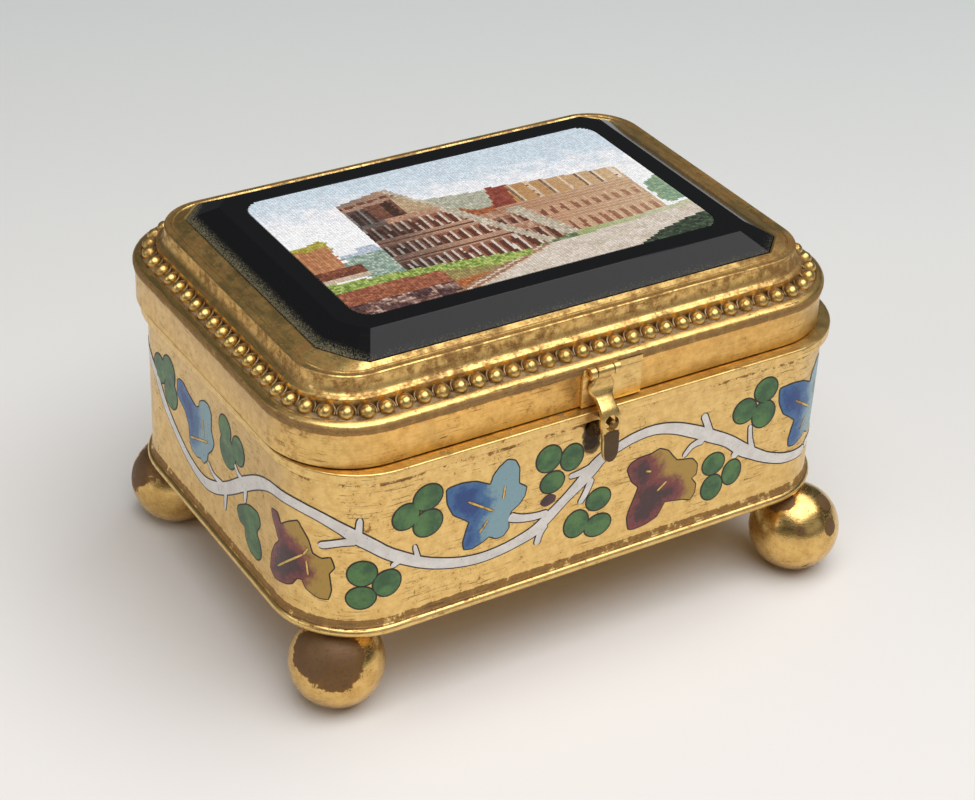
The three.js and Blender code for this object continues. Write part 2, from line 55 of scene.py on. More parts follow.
def middle(node):
    """The plan centre of a node's box, in millimetres."""
    low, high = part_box(node)
    return Vector(((low[0] + high[0]) / 2, (low[1] + high[1]) / 2, 0)) / MM


TUB = middle("tub")
LID = middle("lid_frame")
TUB_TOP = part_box("tub")[1][2] / MM
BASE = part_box("tub")[0][2] / MM
LID_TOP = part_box("plaque")[1][2] / MM

# The tub's wall: half length, half depth and corner radius
HALF_L = 44.0
HALF_D = 30.9
CORNER_R = 11.8
WALL = 1.4

# The lid's rim
RIM_HALF_L = 44.7
RIM_HALF_D = 31.55
RIM_R = 12.5
BEAD_INSET = 2.35
BEADS = 98

# The mosaic panel
PANEL_L = 58.8
PANEL_D = 35.4
PANEL_R = 3.0

CORNER_STEPS = 14
SIDE_STEPS = 10

# ---------------------------------------------------------------- colours and nodes


def tint(code):
    """An sRGB hex colour as linear RGBA."""
    parts = [int(code[i:i + 2], 16) / 255 for i in (1, 3, 5)]
    linear = [c / 12.92 if c <= 0.04045 else ((c + 0.055) / 1.055) ** 2.4 for c in parts]
    return (*linear, 1.0)


# What the kinds of node used most are called here, with their fixed settings
KINDS = {
    "noise": ("ShaderNodeTexNoise", {}),
    "step": ("ShaderNodeMapRange", {"interpolation_type": "SMOOTHSTEP"}),
    "mix": ("ShaderNodeMix", {"data_type": "RGBA"}),
    "add": ("ShaderNodeMath", {"operation": "ADD"}),
    "subtract": ("ShaderNodeMath", {"operation": "SUBTRACT"}),
    "multiply": ("ShaderNodeMath", {"operation": "MULTIPLY"}),
    "larger": ("ShaderNodeMath", {"operation": "MAXIMUM"}),
    "stretch": ("ShaderNodeVectorMath", {"operation": "MULTIPLY"}),
    "distance": ("ShaderNodeVectorMath", {"operation": "DISTANCE"}),
    "axes": ("ShaderNodeSeparateXYZ", {}),
    "bump": ("ShaderNodeBump", {}),
    "surface": ("ShaderNodeBsdfPrincipled", {}),
    "output": ("ShaderNodeOutputMaterial", {}),
}


def add_node(tree, kind, *feeds, **settings):
    """Adds a node. Feeds fill its working inputs in order; a setting is a property or names an input.

    An input takes a node (its first working output), a socket, a value or a hex colour.
    """
    kind, fixed = KINDS.get(kind, (kind, {}))
    node = tree.nodes.new(kind)
    named = {}
    for key, value in {**fixed, **settings}.items():
        if hasattr(node, key):
            setattr(node, key, value)
        else:
            named[node.inputs[key.replace("_", " ")]] = value
    for slot, value in [*zip([slot for slot in node.inputs if slot.enabled], feeds), *named.items()]:
        if isinstance(value, bpy.types.Node):
            value = next(output for output in value.outputs if output.enabled)
        if isinstance(value, bpy.types.NodeSocket):
            tree.links.new(value, slot)
        else:
            slot.default_value = tint(value) if str(value).startswith("#") else value
    return node


def new_material(name):
    """An empty node material, its tree, and the place on the object in millimetres."""
    material = bpy.data.materials.new(name)
    material.use_nodes = True
    tree = material.node_tree
    tree.nodes.clear()
    coords = add_node(tree, "ShaderNodeTexCoord").outputs["Object"]
    return material, tree, add_node(tree, "ShaderNodeVectorMath", coords, operation="SCALE", Scale=1 / MM)


# ---------------------------------------------------------------- materials

# A noise node takes a place, then one over the size of its blotches in millimetres, detail and roughness


def gilding(name, light, dark, patina, worn=0.56, soft=0.03, cover=0.8, streaked=0.62, grain=0.2, rough=0.3,
            bands=(), spots=(), shadows_and_stains=(), front_only=False):
    """Mercury-gilt brass. The gold is rubbed and pitted, and where it has gone the brass shows brown.

    Bands are (low z, high z, amount) and spots are (x, y, z, radius), places that are browner than the rest:
    brown patina, and in some uses painted shade in a hollow or a painted dark reflection.
    Shadows and stains are the same as spots, and nearly black: painted shadow cast on the surface, and dark
    stains.
    """
    material, tree, at = new_material(name)
    broad = add_node(tree, "noise", at, 1 / 9.0, 4.0, 0.6, Distortion=0.5)
    mottle = add_node(tree, "noise", at, 1 / 1.6, 6.0, 0.7)
    drawn_up = add_node(tree, "stretch", at, (1 / 4.0, 1 / 4.0, 1 / 0.2))
    scratches = add_node(tree, "noise", drawn_up, 1.0, 5.0, 0.65)
    grit = add_node(tree, "noise", at, 1 / 0.38, 3.0, 0.6)

    # Gold, from its light to its dark tone
    blotches = add_node(tree, "multiply", add_node(tree, "step", mottle, 0.35, 0.65), 0.5)
    grained = add_node(tree, "multiply", add_node(tree, "step", scratches, 0.4, 0.62), grain)
    colour = add_node(tree, "mix", add_node(tree, "add", blotches, grained), light, dark)

    # How far the gold is gone
    level = add_node(tree, "add", add_node(tree, "multiply", mottle, 0.6),
                     add_node(tree, "multiply", broad, 0.4))
    # Bands: browner patina along a height, and in some uses painted shade in a hollow or under an overhang
    for low, high, amount in bands:
        z = add_node(tree, "axes", at).outputs[2]
        above = add_node(tree, "step", z, low - 0.2, low + 0.2)
        below = add_node(tree, "step", z, high - 0.2, high + 0.2, 1.0, 0.0)
        inside = add_node(tree, "multiply", above, below)
        level = add_node(tree, "add", level, add_node(tree, "multiply", inside, amount))
    for x, y, z, radius in spots:
        gap = add_node(tree, "distance", at, (x, y, z))
        near = add_node(tree, "step", gap, radius * 0.75, radius * 1.25, 0.26, 0.0)
        # Limited to faces turned to the front, so one side of a part is darker: a painted dark reflection as
        # well as patina
        if front_only:
            normal = add_node(tree, "ShaderNodeNewGeometry").outputs["Normal"]
            facing = add_node(tree, "axes", normal).outputs[1]
            near = add_node(tree, "multiply", near, add_node(tree, "step", facing, -0.7, -0.9))
        level = add_node(tree, "add", level, near)

    # Brown brass, then the thick patina, the dashes and pits, and near-black spots: dark stains and painted
    # shadow
    browned = add_node(tree, "step", level, worn - soft, worn + soft)
    thick = add_node(tree, "step", level, worn + soft, worn + 0.16 + soft)
    colour = add_node(tree, "mix", add_node(tree, "multiply", browned, cover), colour, patina)
    colour = add_node(tree, "mix", add_node(tree, "multiply", thick, 0.5 * cover), colour, "#4A3220")
    dashes = add_node(tree, "multiply", add_node(tree, "step", scratches, streaked, streaked + 0.03),
                      add_node(tree, "step", broad, 0.44, 0.56))
    pits = add_node(tree, "multiply", add_node(tree, "step", grit, 0.6, 0.65),
                    add_node(tree, "step", level, 0.48, 0.58, 0.15, 1.0))
    dirt = add_node(tree, "larger", add_node(tree, "multiply", dashes, 0.7),
                    add_node(tree, "multiply", pits, 0.6))
    colour = add_node(tree, "mix", dirt, colour, "#5A3D1C")
    # Near-black spots: painted shadow and reflection of a nearby part on the surface, and dark stains
    for x, y, z, radius in shadows_and_stains:
        gap = add_node(tree, "distance", at, (x, y, z))
        gap = add_node(tree, "add", gap, add_node(tree, "multiply", mottle, 1.4))
        near = add_node(tree, "step", gap, radius + 0.55, radius + 0.95, 0.88, 0.0)
        colour = add_node(tree, "mix", near, colour, "#2E2015")

    covered = add_node(tree, "multiply", add_node(tree, "larger", thick, dirt), 0.6)
    dull = add_node(tree, "larger", add_node(tree, "multiply", browned, 0.3),
                    add_node(tree, "multiply", dirt, 0.3))
    gloss = add_node(tree, "step", scratches, 0.35, 0.65, rough, rough + 0.1)
    sunk = add_node(tree, "add", add_node(tree, "multiply", dirt, 0.8),
                    add_node(tree, "multiply", browned, 0.4))
    height = add_node(tree, "subtract", add_node(tree, "multiply", grit, 0.6), sunk)
    relief = add_node(tree, "bump", Height=height, Strength=0.35, Distance=0.07 * MM)
    metal = add_node(tree, "surface", Base_Color=colour, Metallic=add_node(tree, "subtract", 1.0, covered),
                     Roughness=add_node(tree, "add", gloss, dull), Normal=relief)
    add_node(tree, "output", metal)
    return material


def glass_paste(name, dark, light, size=2.5, roughness=0.25):
    """Opaque enamel, fired and ground flush: a smooth glassy colour, a little cloudy and pitted."""
    material, tree, at = new_material(name)
    clouds = add_node(tree, "step", add_node(tree, "noise", at, 1 / size, 5.0, 0.65), 0.35, 0.65)
    finish_enamel(tree, at, add_node(tree, "mix", clouds, dark, light), roughness)
    return material


def leaf_paste(name, deep, middle, pale, roughness=0.25):
    """Two wet enamels brushed into each other: the attribute tells how deep in the dark side a point lies."""
    material, tree, at = new_material(name)
    depth = add_node(tree, "ShaderNodeAttribute", attribute_name="depth").outputs["Fac"]
    uneven = add_node(tree, "subtract", add_node(tree, "noise", at, 1 / 1.3, 6.0, 0.7), 0.5)
    depth = add_node(tree, "add", depth, add_node(tree, "multiply", uneven, 5.0))
    colour = add_node(tree, "mix", add_node(tree, "step", depth, -2.2, -0.1), pale, middle)
    colour = add_node(tree, "mix", add_node(tree, "step", depth, 0.0, 1.4), colour, deep)
    finish_enamel(tree, at, colour, roughness)
    return material


def finish_enamel(tree, at, colour, roughness):
    """Pin holes and a slightly uneven gloss."""
    holes = add_node(tree, "step", add_node(tree, "noise", at, 1 / 0.3, 3.0, 0.6), 0.66, 0.7)
    colour = add_node(tree, "mix", add_node(tree, "multiply", holes, 0.6), colour, "#40362A")
    waves = add_node(tree, "noise", at, 1 / 1.5, 3.0, 0.6)
    gloss = add_node(tree, "step", waves, 0.3, 0.7, roughness, roughness + 0.15)
    height = add_node(tree, "noise", at, 1 / 0.6, 3.0, 0.6)
    relief = add_node(tree, "bump", Height=height, Strength=0.15, Distance=0.03 * MM)
    add_node(tree, "output", add_node(tree, "surface", Base_Color=colour, Roughness=gloss, Normal=relief))


def black_stone():
    """Polished black stone. Pale dust lies along its foot, most of it on the left."""
    material, tree, at = new_material("polished_black_stone")
    across, _, up = add_node(tree, "axes", at).outputs
    left = add_node(tree, "step", across, -31.5, -35.0)
    foot = add_node(tree, "step", up, LID_TOP - 2.2, LID_TOP - 1.2, 1.0, 0.0)
    crumbs = add_node(tree, "noise", at, 1 / 0.22, 6.0, 0.8)
    reach = add_node(tree, "add", add_node(tree, "multiply", foot, 0.13),
                     add_node(tree, "multiply", left, 0.1))
    grime = add_node(tree, "multiply", add_node(tree, "step", add_node(tree, "add", crumbs, reach), 0.62,
                                                0.84),
                     add_node(tree, "step", foot, 0.02, 0.4))
    specks = add_node(tree, "step", add_node(tree, "noise", at, 1 / 0.4, 2.0, 0.6), 0.72, 0.76)
    colour = add_node(tree, "mix", add_node(tree, "multiply", grime, 0.75), "#171718", "#8C8568")
    colour = add_node(tree, "mix", add_node(tree, "multiply", specks, 0.3), colour, "#4A4A48")
    drawn_along = add_node(tree, "stretch", at, (1 / 9.0, 1.0, 1.0))
    scratch = add_node(tree, "noise", drawn_along, 1 / 0.4, 4.0, 0.7)
    rough = add_node(tree, "add", add_node(tree, "step", scratch, 0.4, 0.8, 0.07, 0.16),
                     add_node(tree, "multiply", grime, 0.6))
    stone = add_node(tree, "surface", Base_Color=colour, Roughness=rough, Specular_IOR_Level=0.16)
    add_node(tree, "output", stone)
    return material


def tessera_glass():
    """Small pieces of opaque glass, each with its own colour, ground flat and waxed."""
    material, tree, at = new_material("mosaic_glass")
    own = add_node(tree, "ShaderNodeAttribute", attribute_name="tint").outputs["Color"]
    mottled = add_node(tree, "step", add_node(tree, "noise", at, 1 / 0.4, 3.0, 0.6), 0.4, 0.75, 0.0, 0.15)
    colour = add_node(tree, "mix", mottled, own, "#6A5C4C")
    height = add_node(tree, "noise", at, 1 / 0.3, 2.0, 0.6)
    relief = add_node(tree, "bump", Height=height, Strength=0.15, Distance=0.02 * MM)
    add_node(tree, "output", add_node(tree, "surface", Base_Color=colour, Roughness=0.42, Normal=relief))
    return material


def plain(name, code, roughness, metallic=0.0):
    """A plain surface with a slight cloudiness."""
    material, tree, at = new_material(name)
    clouds = add_node(tree, "step", add_node(tree, "noise", at, 1 / 1.2, 4.0, 0.6), 0.2, 0.8, 0.0, 0.35)
    colour = add_node(tree, "mix", clouds, code, "#241A10")
    height = add_node(tree, "noise", at, 1 / 0.3, 3.0, 0.6)
    relief = add_node(tree, "bump", Height=height, Strength=0.2, Distance=0.03 * MM)
    surface = add_node(tree, "surface", Base_Color=colour, Roughness=roughness, Metallic=metallic,
                       Normal=relief)
    add_node(tree, "output", surface)
    return material


# ---------------------------------------------------------------- mesh helpers


def build(name, verts, faces, material, body, slot, nodes=(), smooth=35):
    """A mesh object from points in millimetres, smooth but for edges over an angle."""
    mesh = bpy.data.meshes.new(name)
    mesh.from_pydata([tuple(c * MM for c in v) for v in verts], [], faces)
    mesh.validate()
    work = bmesh.new()
    work.from_mesh(mesh)
    bmesh.ops.remove_doubles(work, verts=work.verts, dist=1e-7)
    bmesh.ops.dissolve_degenerate(work, edges=work.edges, dist=1e-8)
    work.to_mesh(mesh)
    work.free()
    return finish_piece(mesh, name, material, body, slot, nodes, smooth)


def finish_piece(mesh, name, material, body, slot, nodes=(), smooth=35):
    if smooth:
        mesh.shade_smooth()
        mesh.set_sharp_from_angle(angle=math.radians(smooth))
    piece = bpy.data.objects.new(name, mesh)
    bpy.context.scene.collection.objects.link(piece)
    if not mesh.materials:
        mesh.materials.append(material)
    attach(piece, body)
    if nodes:
        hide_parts(*nodes)
    return piece


def round_ring(centre, half_x, half_y, radius, z):
    """A rounded rectangle, counter-clockwise from the middle of its right side's top end."""
    r = max(0.02, radius)
    points = []
    corners = ((1, 1), (-1, 1), (-1, -1), (1, -1))
    for corner, (sx, sy) in enumerate(corners):
        cx, cy = sx * (half_x - r), sy * (half_y - r)
        for i in range(CORNER_STEPS + 1):
            t = (corner + i / CORNER_STEPS) * math.pi / 2
            points.append(centre + Vector((cx + r * math.cos(t), cy + r * math.sin(t), z)))
        nx, ny = corners[(corner + 1) % 4]
        end = points[-1]
        t = (corner + 1) * math.pi / 2
        goal = centre + Vector((nx * (half_x - r) + r * math.cos(t), ny * (half_y - r) + r * math.sin(t),
                                z))
        points += [end.lerp(goal, i / SIDE_STEPS) for i in range(1, SIDE_STEPS)]
    return points


def cut_ring(centre, half_x, half_y, cut, z):
    """A rectangle with straight cut corners and as many points as a rounded one."""
    points = []
    corners = ((1, 1), (-1, 1), (-1, -1), (1, -1))
    for corner, (sx, sy) in enumerate(corners):
        ends = [Vector((sx * half_x, sy * (half_y - cut), z)),
                Vector((sx * (half_x - cut), sy * half_y, z))]
        if sx * sy < 0:
            ends.reverse()
        points += [centre + ends[0].lerp(ends[1], i / CORNER_STEPS) for i in range(CORNER_STEPS + 1)]
        nx, ny = corners[(corner + 1) % 4]
        if nx * ny > 0:
            goal = centre + Vector((nx * half_x, ny * (half_y - cut), z))
        else:
            goal = centre + Vector((nx * (half_x - cut), ny * half_y, z))
        end = points[-1]
        points += [end.lerp(goal, i / SIDE_STEPS) for i in range(1, SIDE_STEPS)]
    return points


def stone_ring(half_x, half_y, cut, z):
    """The plaque's outline. Its front left corner is ground in two facets."""
    points = cut_ring(LID, half_x, half_y, cut, z)
    ends = [Vector((-half_x, -half_y + 1.75 * cut, z)),
            Vector((-half_x + 0.85 * cut, -half_y + 0.42 * cut, z)),
            Vector((-half_x + 1.3 * cut, -half_y, z))]
    start = 2 * (CORNER_STEPS + SIDE_STEPS)
    middle_step = CORNER_STEPS // 2
    for i in range(CORNER_STEPS + 1):
        k, part = (0, i / middle_step) if i <= middle_step else (1, i / middle_step - 1)
        points[start + i] = LID + ends[k].lerp(ends[k + 1], part)
    for first, last in ((start - SIDE_STEPS, start), (start + CORNER_STEPS,
                                                      start + CORNER_STEPS + SIDE_STEPS)):
        for i in range(1, SIDE_STEPS):
            points[first + i] = points[first].lerp(points[last], i / SIDE_STEPS)
    return points


def loft(rings, caps=(True, True)):
    """Skins rings of equal length, going up outside or down inside."""
    count = len(rings[0])
    verts = [p for ring in rings for p in ring]
    faces = []
    for k in range(len(rings) - 1):
        a, b = k * count, (k + 1) * count
        faces += [(a + i, a + (i + 1) % count, b + (i + 1) % count, b + i) for i in range(count)]
    if caps[0]:
        faces.append(tuple(reversed(range(count))))
    if caps[1]:
        faces.append(tuple(range((len(rings) - 1) * count, len(rings) * count)))
    return verts, faces


def arc(centre, radius, start, end, steps):
    """Points of an arc in a profile, in degrees."""
    a, b = math.radians(start), math.radians(end)
    return [(centre[0] + radius * math.cos(a + (b - a) * i / steps),
             centre[1] + radius * math.sin(a + (b - a) * i / steps)) for i in range(steps + 1)]


def curve_through(points, per_span=6, closed=False, ease=1.0):
    """A smooth line through points of any dimension. Less ease keeps its corners sharper."""
    count = len(points)
    out = []
    for i in range(count if closed else count - 1):
        places = [(i + k) % count if closed else min(max(i + k, 0), count - 1) for k in (-1, 0, 1, 2)]
        pick = [points[n] for n in places]
        for j in range(per_span):
            t = j / per_span
            out.append(tuple(
                ease * 0.5 * (2 * b + (c - a) * t + (2 * a - 5 * b + 4 * c - d) * t * t
                              + (3 * b - a - 3 * c + d) * t ** 3)
                + (1 - ease) * (b + (c - b) * t) for a, b, c, d in zip(*pick)))
    if not closed:
        out.append(tuple(points[-1]))
    return out


# ---------------------------------------------------------------- tub and lid


def tub_ring(out, z):
    return round_ring(TUB, HALF_L + out, HALF_D + out, CORNER_R + out, z)


def lid_ring(inset, z):
    return round_ring(LID, RIM_HALF_L - inset, RIM_HALF_D - inset, RIM_R - inset, z)


def make_tub(material):
    """The sheet-metal tub: lip, hollow moulding, wall, collar, and a plain hollow inside."""
    floor = BASE + 1.5
    lip = BASE + 0.7
    outside = [(0.0, BASE)] + arc((0.1, lip), 0.7, -90, 90, 10)
    outside += [(0.1, lip + 0.7), (0.35, lip + 0.76), (0.33, lip + 0.95)]
    outside += [(0.33 * (1 - math.sin(t)), lip + 0.95 + 2.1 * (1 - math.cos(t)))
                for t in (math.pi / 2 * i / 6 for i in range(1, 7))]
    collar = TUB_TOP - 1.5
    outside += [(0, collar - 0.3), (0.08, collar - 0.12), (0.75, collar - 0.04)]
    outside += arc((0.82, collar + 0.14), 0.18, -90, 0, 3) + arc((0.75, TUB_TOP - 0.25), 0.25, 0, 90, 4)
    inside = [(-1.25, TUB_TOP), (-WALL, TUB_TOP - 0.2), (-WALL, floor + 0.8)]
    inside += [(-WALL - 0.8 + 0.8 * math.cos(t), floor + 0.8 - 0.8 * math.sin(t))
               for t in (math.pi / 2 * i / 4 for i in range(1, 5))]
    verts, faces = loft([tub_ring(o, z) for o, z in outside + inside])
    return build("tub_body", verts, faces, material, "box", "gilt_metal", ["tub"])


def make_lid(material):
    """The lid: skirt, rim, bead channel, hollow moulding and the frame round the plaque."""
    low = TUB_TOP + 0.15
    rim = low + 5.1
    top = rim + 1.8
    channel = top - 0.6
    cove = channel + 2.6
    frame_edge = cove + 2.3
    foot = LID_TOP - 2.2
    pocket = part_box("plaque")[0][2] / MM - 0.02
    under = [(5.85, pocket - 0.9), (5.85, cove - 0.9), (4.35, channel - 0.9),
             (2.4, channel - 0.9), (1.5, rim - 0.3), (1.5, low)]
    skirt = [(0.45, low), (0.3, low + 0.12), (0.3, rim - 0.1), (0.24, rim), (0.1, rim + 0.1)]
    skirt += arc((0.5, rim + 0.62), 0.5, 180, 150, 2)
    skirt += [(0.02, top - 0.75), (0.2, top - 0.4), (0.45, top - 0.2),
              (0.9, top), (1.15, top), (1.25, top - 0.12), (1.25, channel)]
    inner = [(3.45, channel), (3.45, cove - 0.25), (3.6, cove - 0.08), (3.78, cove)]
    inner += [(3.78 + 0.85 * math.sin(t), cove + 2.2 * (1 - math.cos(t)))
              for t in (math.pi / 2 * i / 8 for i in range(1, 9))]
    inner += [(4.64, frame_edge), (4.72, frame_edge + 0.12), (4.86, frame_edge + 0.2),
              (5.1, frame_edge + 0.16), (5.6, frame_edge + 0.2),
              (5.7, frame_edge + 0.32), (5.85, frame_edge + 0.34), (6.0, frame_edge + 0.24)]
    rings = [lid_ring(o, z) for o, z in under + skirt + inner]
    half_l, half_d = 36.5, 24.8
    rings += [stone_ring(half_l + 0.25, half_d + 0.25, 3.7, foot + 0.02),
              stone_ring(half_l, half_d, 3.6, foot - 0.12),
              stone_ring(half_l, half_d, 3.6, pocket)]
    verts, faces = loft(rings)
    return build("lid_mount", verts, faces, material, "lid", "gilt_metal", ["lid_frame"])


def make_plaque(material):
    """The black tablet, bevelled on four sides, with a shallow pocket for the mosaic."""
    bottom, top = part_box("plaque")[0][2] / MM, LID_TOP
    pocket_l, pocket_d = PANEL_L / 2 + 0.06, PANEL_D / 2 + 0.06
    rings = [
        stone_ring(36.4, 24.7, 3.6, bottom),
        stone_ring(36.4, 24.7, 3.6, top - 2.2),
        stone_ring(32.57, 20.87, 2.25, top - 0.06),
        stone_ring(32.4, 20.7, 2.2, top),
        round_ring(LID, pocket_l + 0.1, pocket_d + 0.1, 3.16, top),
        round_ring(LID, pocket_l, pocket_d, 3.06, top - 0.12),
        round_ring(LID, pocket_l, pocket_d, 3.06, top - 1.22),
    ]
    verts, faces = loft(rings)
    return build("stone_plaque", verts, faces, material, "lid", "black_stone", ["plaque"], smooth=8)


# ---------------------------------------------------------------- geometry nodes


def node_tree(name, sizes):
    """An empty Geometry Nodes tree with named inputs: (name, kind, value)."""
    tree = bpy.data.node_groups.new(name, "GeometryNodeTree")
    tree.interface.new_socket("Geometry", in_out="INPUT", socket_type="NodeSocketGeometry")
    tree.interface.new_socket("Geometry", in_out="OUTPUT", socket_type="NodeSocketGeometry")
    for label, kind, _ in sizes:
        tree.interface.new_socket(label, in_out="INPUT", socket_type=kind)
    return tree


def grown(name, base, tree, sizes, material):
    """Runs a tree on a base mesh and returns the plain mesh it makes."""
    holder = bpy.data.objects.new(name + "_base", base)
    bpy.context.scene.collection.objects.link(holder)
    modifier = holder.modifiers.new(name, "NODES")
    modifier.node_group = tree
    sockets = {s.name: s.identifier for s in tree.interface.items_tree if s.in_out == "INPUT"}
    for label, _, value in sizes:
        modifier[sockets[label]] = value
    modifier[sockets["Finish"]] = material
    bpy.context.view_layer.update()
    graph = bpy.context.evaluated_depsgraph_get()
    mesh = bpy.data.meshes.new_from_object(holder.evaluated_get(graph), preserve_all_data_layers=True,
                                           depsgraph=graph)
    holder.modifiers.remove(modifier)
    bpy.data.objects.remove(holder)
    mesh.name = name
    return mesh


def hood_mesh():
    """The cupped wall behind one bead: a half ring, high at the back and low at its horns."""
    steps = 16
    verts, faces = [], []
    for i in range(steps + 1):
        t = math.radians(-98 + 196 * i / steps)
        fall = (abs(t) / math.radians(98)) ** 2
        high = 0.78 - 0.75 * fall
        for radius, z in ((1.08, -0.9), (1.12, high - 0.12), (1.19, high),
                          (1.31, high - 0.02), (1.36, high - 0.16), (1.36, -0.9)):
            verts.append((radius * math.sin(t) * MM, radius * math.cos(t) * MM, z * MM))
    for i in range(steps):
        for k in range(6):
            a, b = i * 6 + k, i * 6 + (k + 1) % 6
            faces.append((a, a + 6, b + 6, b))
    faces.append(tuple(range(6)))
    faces.append(tuple(reversed(range(steps * 6, steps * 6 + 6))))
    mesh = bpy.data.meshes.new("hood")
    mesh.from_pydata(verts, [], faces)
    work = bmesh.new()
    work.from_mesh(mesh)
    bmesh.ops.recalc_face_normals(work, faces=work.faces)
    work.to_mesh(mesh)
    work.free()
    return mesh


def make_beads(bead_metal, hood_metal):
    """A row of round beads, each in a cup, following the lid's outline."""
    channel = TUB_TOP + 0.15 + 5.1 + 1.8 - 0.6
    z = channel + 1.0
    bed = [(1.3, channel + 0.02), (1.3, channel + 0.42), (1.45, channel + 0.62), (2.3, channel + 0.72),
           (3.25, channel + 0.72),
           (3.4, channel + 0.6), (3.4, channel + 0.02)]
    verts, faces = loft([lid_ring(inset, height) for inset, height in bed], (False, False))
    count = len(verts) // len(bed)
    last = len(verts) - count
    faces += [(last + i, last + (i + 1) % count, (i + 1) % count, i) for i in range(count)]
    build("bead_strip", verts, faces, hood_metal, "lid", "gilt_metal")
    line = round_ring(LID, RIM_HALF_L - BEAD_INSET, RIM_HALF_D - BEAD_INSET, RIM_R - BEAD_INSET, z)
    for name, part, material in (("pearl_beads", "bead", bead_metal), ("bead_cups", "cup", hood_metal)):
        base = bpy.data.meshes.new(name + "_line")
        count = len(line)
        base.from_pydata([tuple(c * MM for c in p) for p in line],
                         [(i, (i + 1) % count) for i in range(count)], [])
        sizes = [("Count", "NodeSocketInt", BEADS), ("Radius", "NodeSocketFloat", 1.05 * MM)]
        tree = node_tree(name, sizes)
        tree.interface.new_socket("Finish", in_out="INPUT", socket_type="NodeSocketMaterial")
        start = add_node(tree, "NodeGroupInput")
        path = add_node(tree, "GeometryNodeMeshToCurve", start.outputs["Geometry"])
        row = add_node(tree, "GeometryNodeCurveToPoints", path, mode="COUNT", Count=start.outputs["Count"])
        turn = add_node(tree, "FunctionNodeAlignRotationToVector", Vector=row.outputs["Tangent"], axis="X",
                        pivot_axis="Z")
        if part == "bead":
            shape = add_node(tree, "GeometryNodeMeshUVSphere", Radius=start.outputs["Radius"], Segments=20,
                             Rings=12)
        else:
            cup = bpy.data.objects.new("cup_pattern", hood_mesh())
            shape = add_node(tree, "GeometryNodeObjectInfo", Object=cup,
                             As_Instance=False).outputs["Geometry"]
        copies = add_node(tree, "GeometryNodeInstanceOnPoints", row.outputs["Points"], Instance=shape,
                          Rotation=turn)
        solid = add_node(tree, "GeometryNodeRealizeInstances", copies)
        coat = add_node(tree, "GeometryNodeSetMaterial", solid, Material=start.outputs["Finish"])
        add_node(tree, "NodeGroupOutput", coat)
        mesh = grown(name, base, tree, sizes, material)
        finish_piece(mesh, name, material, "lid", "gilt_metal", ["bead_border"] if part == "bead" else (),
                     50)


# ---------------------------------------------------------------- mosaic picture

SKY = ("#F4EDED", "#CFDBE4")


def between(first, second, amount):
    """A shade between two hex colours, as sRGB."""
    amount = min(1.0, max(0.0, amount))
    return tuple(int(first[i:i + 2], 16) / 255 * (1 - amount)
                 + int(second[i:i + 2], 16) / 255 * amount for i in (1, 3, 5))


def edge(x, *points):
    """The height of a broken line at x."""
    for (x0, y0), (x1, y1) in zip(points, points[1:]):
        if x <= x1:
            return y0 + (y1 - y0) * (0 if x1 == x0 else min(1, max(0, (x - x0) / (x1 - x0))))
    return points[-1][1]


def columns(x, y, high, pitch, light, middle, dark, shade):
    """One storey of an arcade: a lit pier, its shaded side and the dark arch beyond it."""
    part = (x / pitch) % 1.0
    if part < 0.26:
        return between(*light, shade)
    if part < 0.52:
        return between(*middle, shade)
    if y > high - 0.35 * (1 + abs(part - 0.76) * 8):
        return between(*middle, shade)
    return between(*dark, shade)


def tall_ruin(x, y, shade):
    """The broken end of the arcade, five storeys high."""
    lit = min(1.0, max(0.0, (x + 15) / 10))
    tan = between("#A48C7C", "#CFA284", lit + 0.3 * shade)
    lean = 0.11 * (x + 17)
    if y - lean > 9.8:
        return tan if y - lean > 10.5 else columns(x, y, 10.6,
                                                   1.9, ("#B8907A", "#C9A48A"), ("#8A5444", "#A0644C"),
                                                   ("#5A342C", "#7A4638"), shade)
    if y - lean > 8.9:
        return between("#C9A48C", "#B58C74", shade)
    if y > 4.7 + 0.04 * (x + 14):
        if x < -14.2:
            return columns(x, y, 9, 1.1, ("#8E8078", "#A39890"),
                           ("#6A5650", "#7C625A"), ("#4C3C3A", "#5A4642"), shade)
        if x < -9.3:
            dark, light = ("#7E5040", "#A4705A") if abs(x + 10.9) > 0.8 else ("#54382E", "#6A4636")
            return between(dark, light, shade)
        return between("#C2A480", "#D6BE9C", shade)
    if y > 3.4 + 0.05 * (x + 14):
        return between("#6E6660", "#8C7E74", shade) if x < -13.4 else between("#C08C70", "#D8AE92", shade)
    for high, low, left, right in ((3.4, -0.5, "#9C8E84", "#D8C8B8"), (-2.1, -5.4, "#A69A8E", "#DCCAB8"),
                                   (-7.2, -13.5, "#B4AAA0", "#DCD0C4")):
        if low < y <= high:
            wide = 1.45 + 0.03 * (x + 17)
            return columns(x + 0.08 * y, y, high, wide, (left, right), ("#6C4C44", "#B07458"),
                           ("#453634", "#7E4636"), min(1, lit + 0.4 * shade))
        if y > high:
            bar = (y - high) / 1.6
            if 0.35 < bar < 0.6:
                return between("#6E4A3E", "#8E5A48", shade)
            return between("#8A6E60", "#CDA084", min(1.0, 0.9 * lit + 0.4 * shade))
    return tan


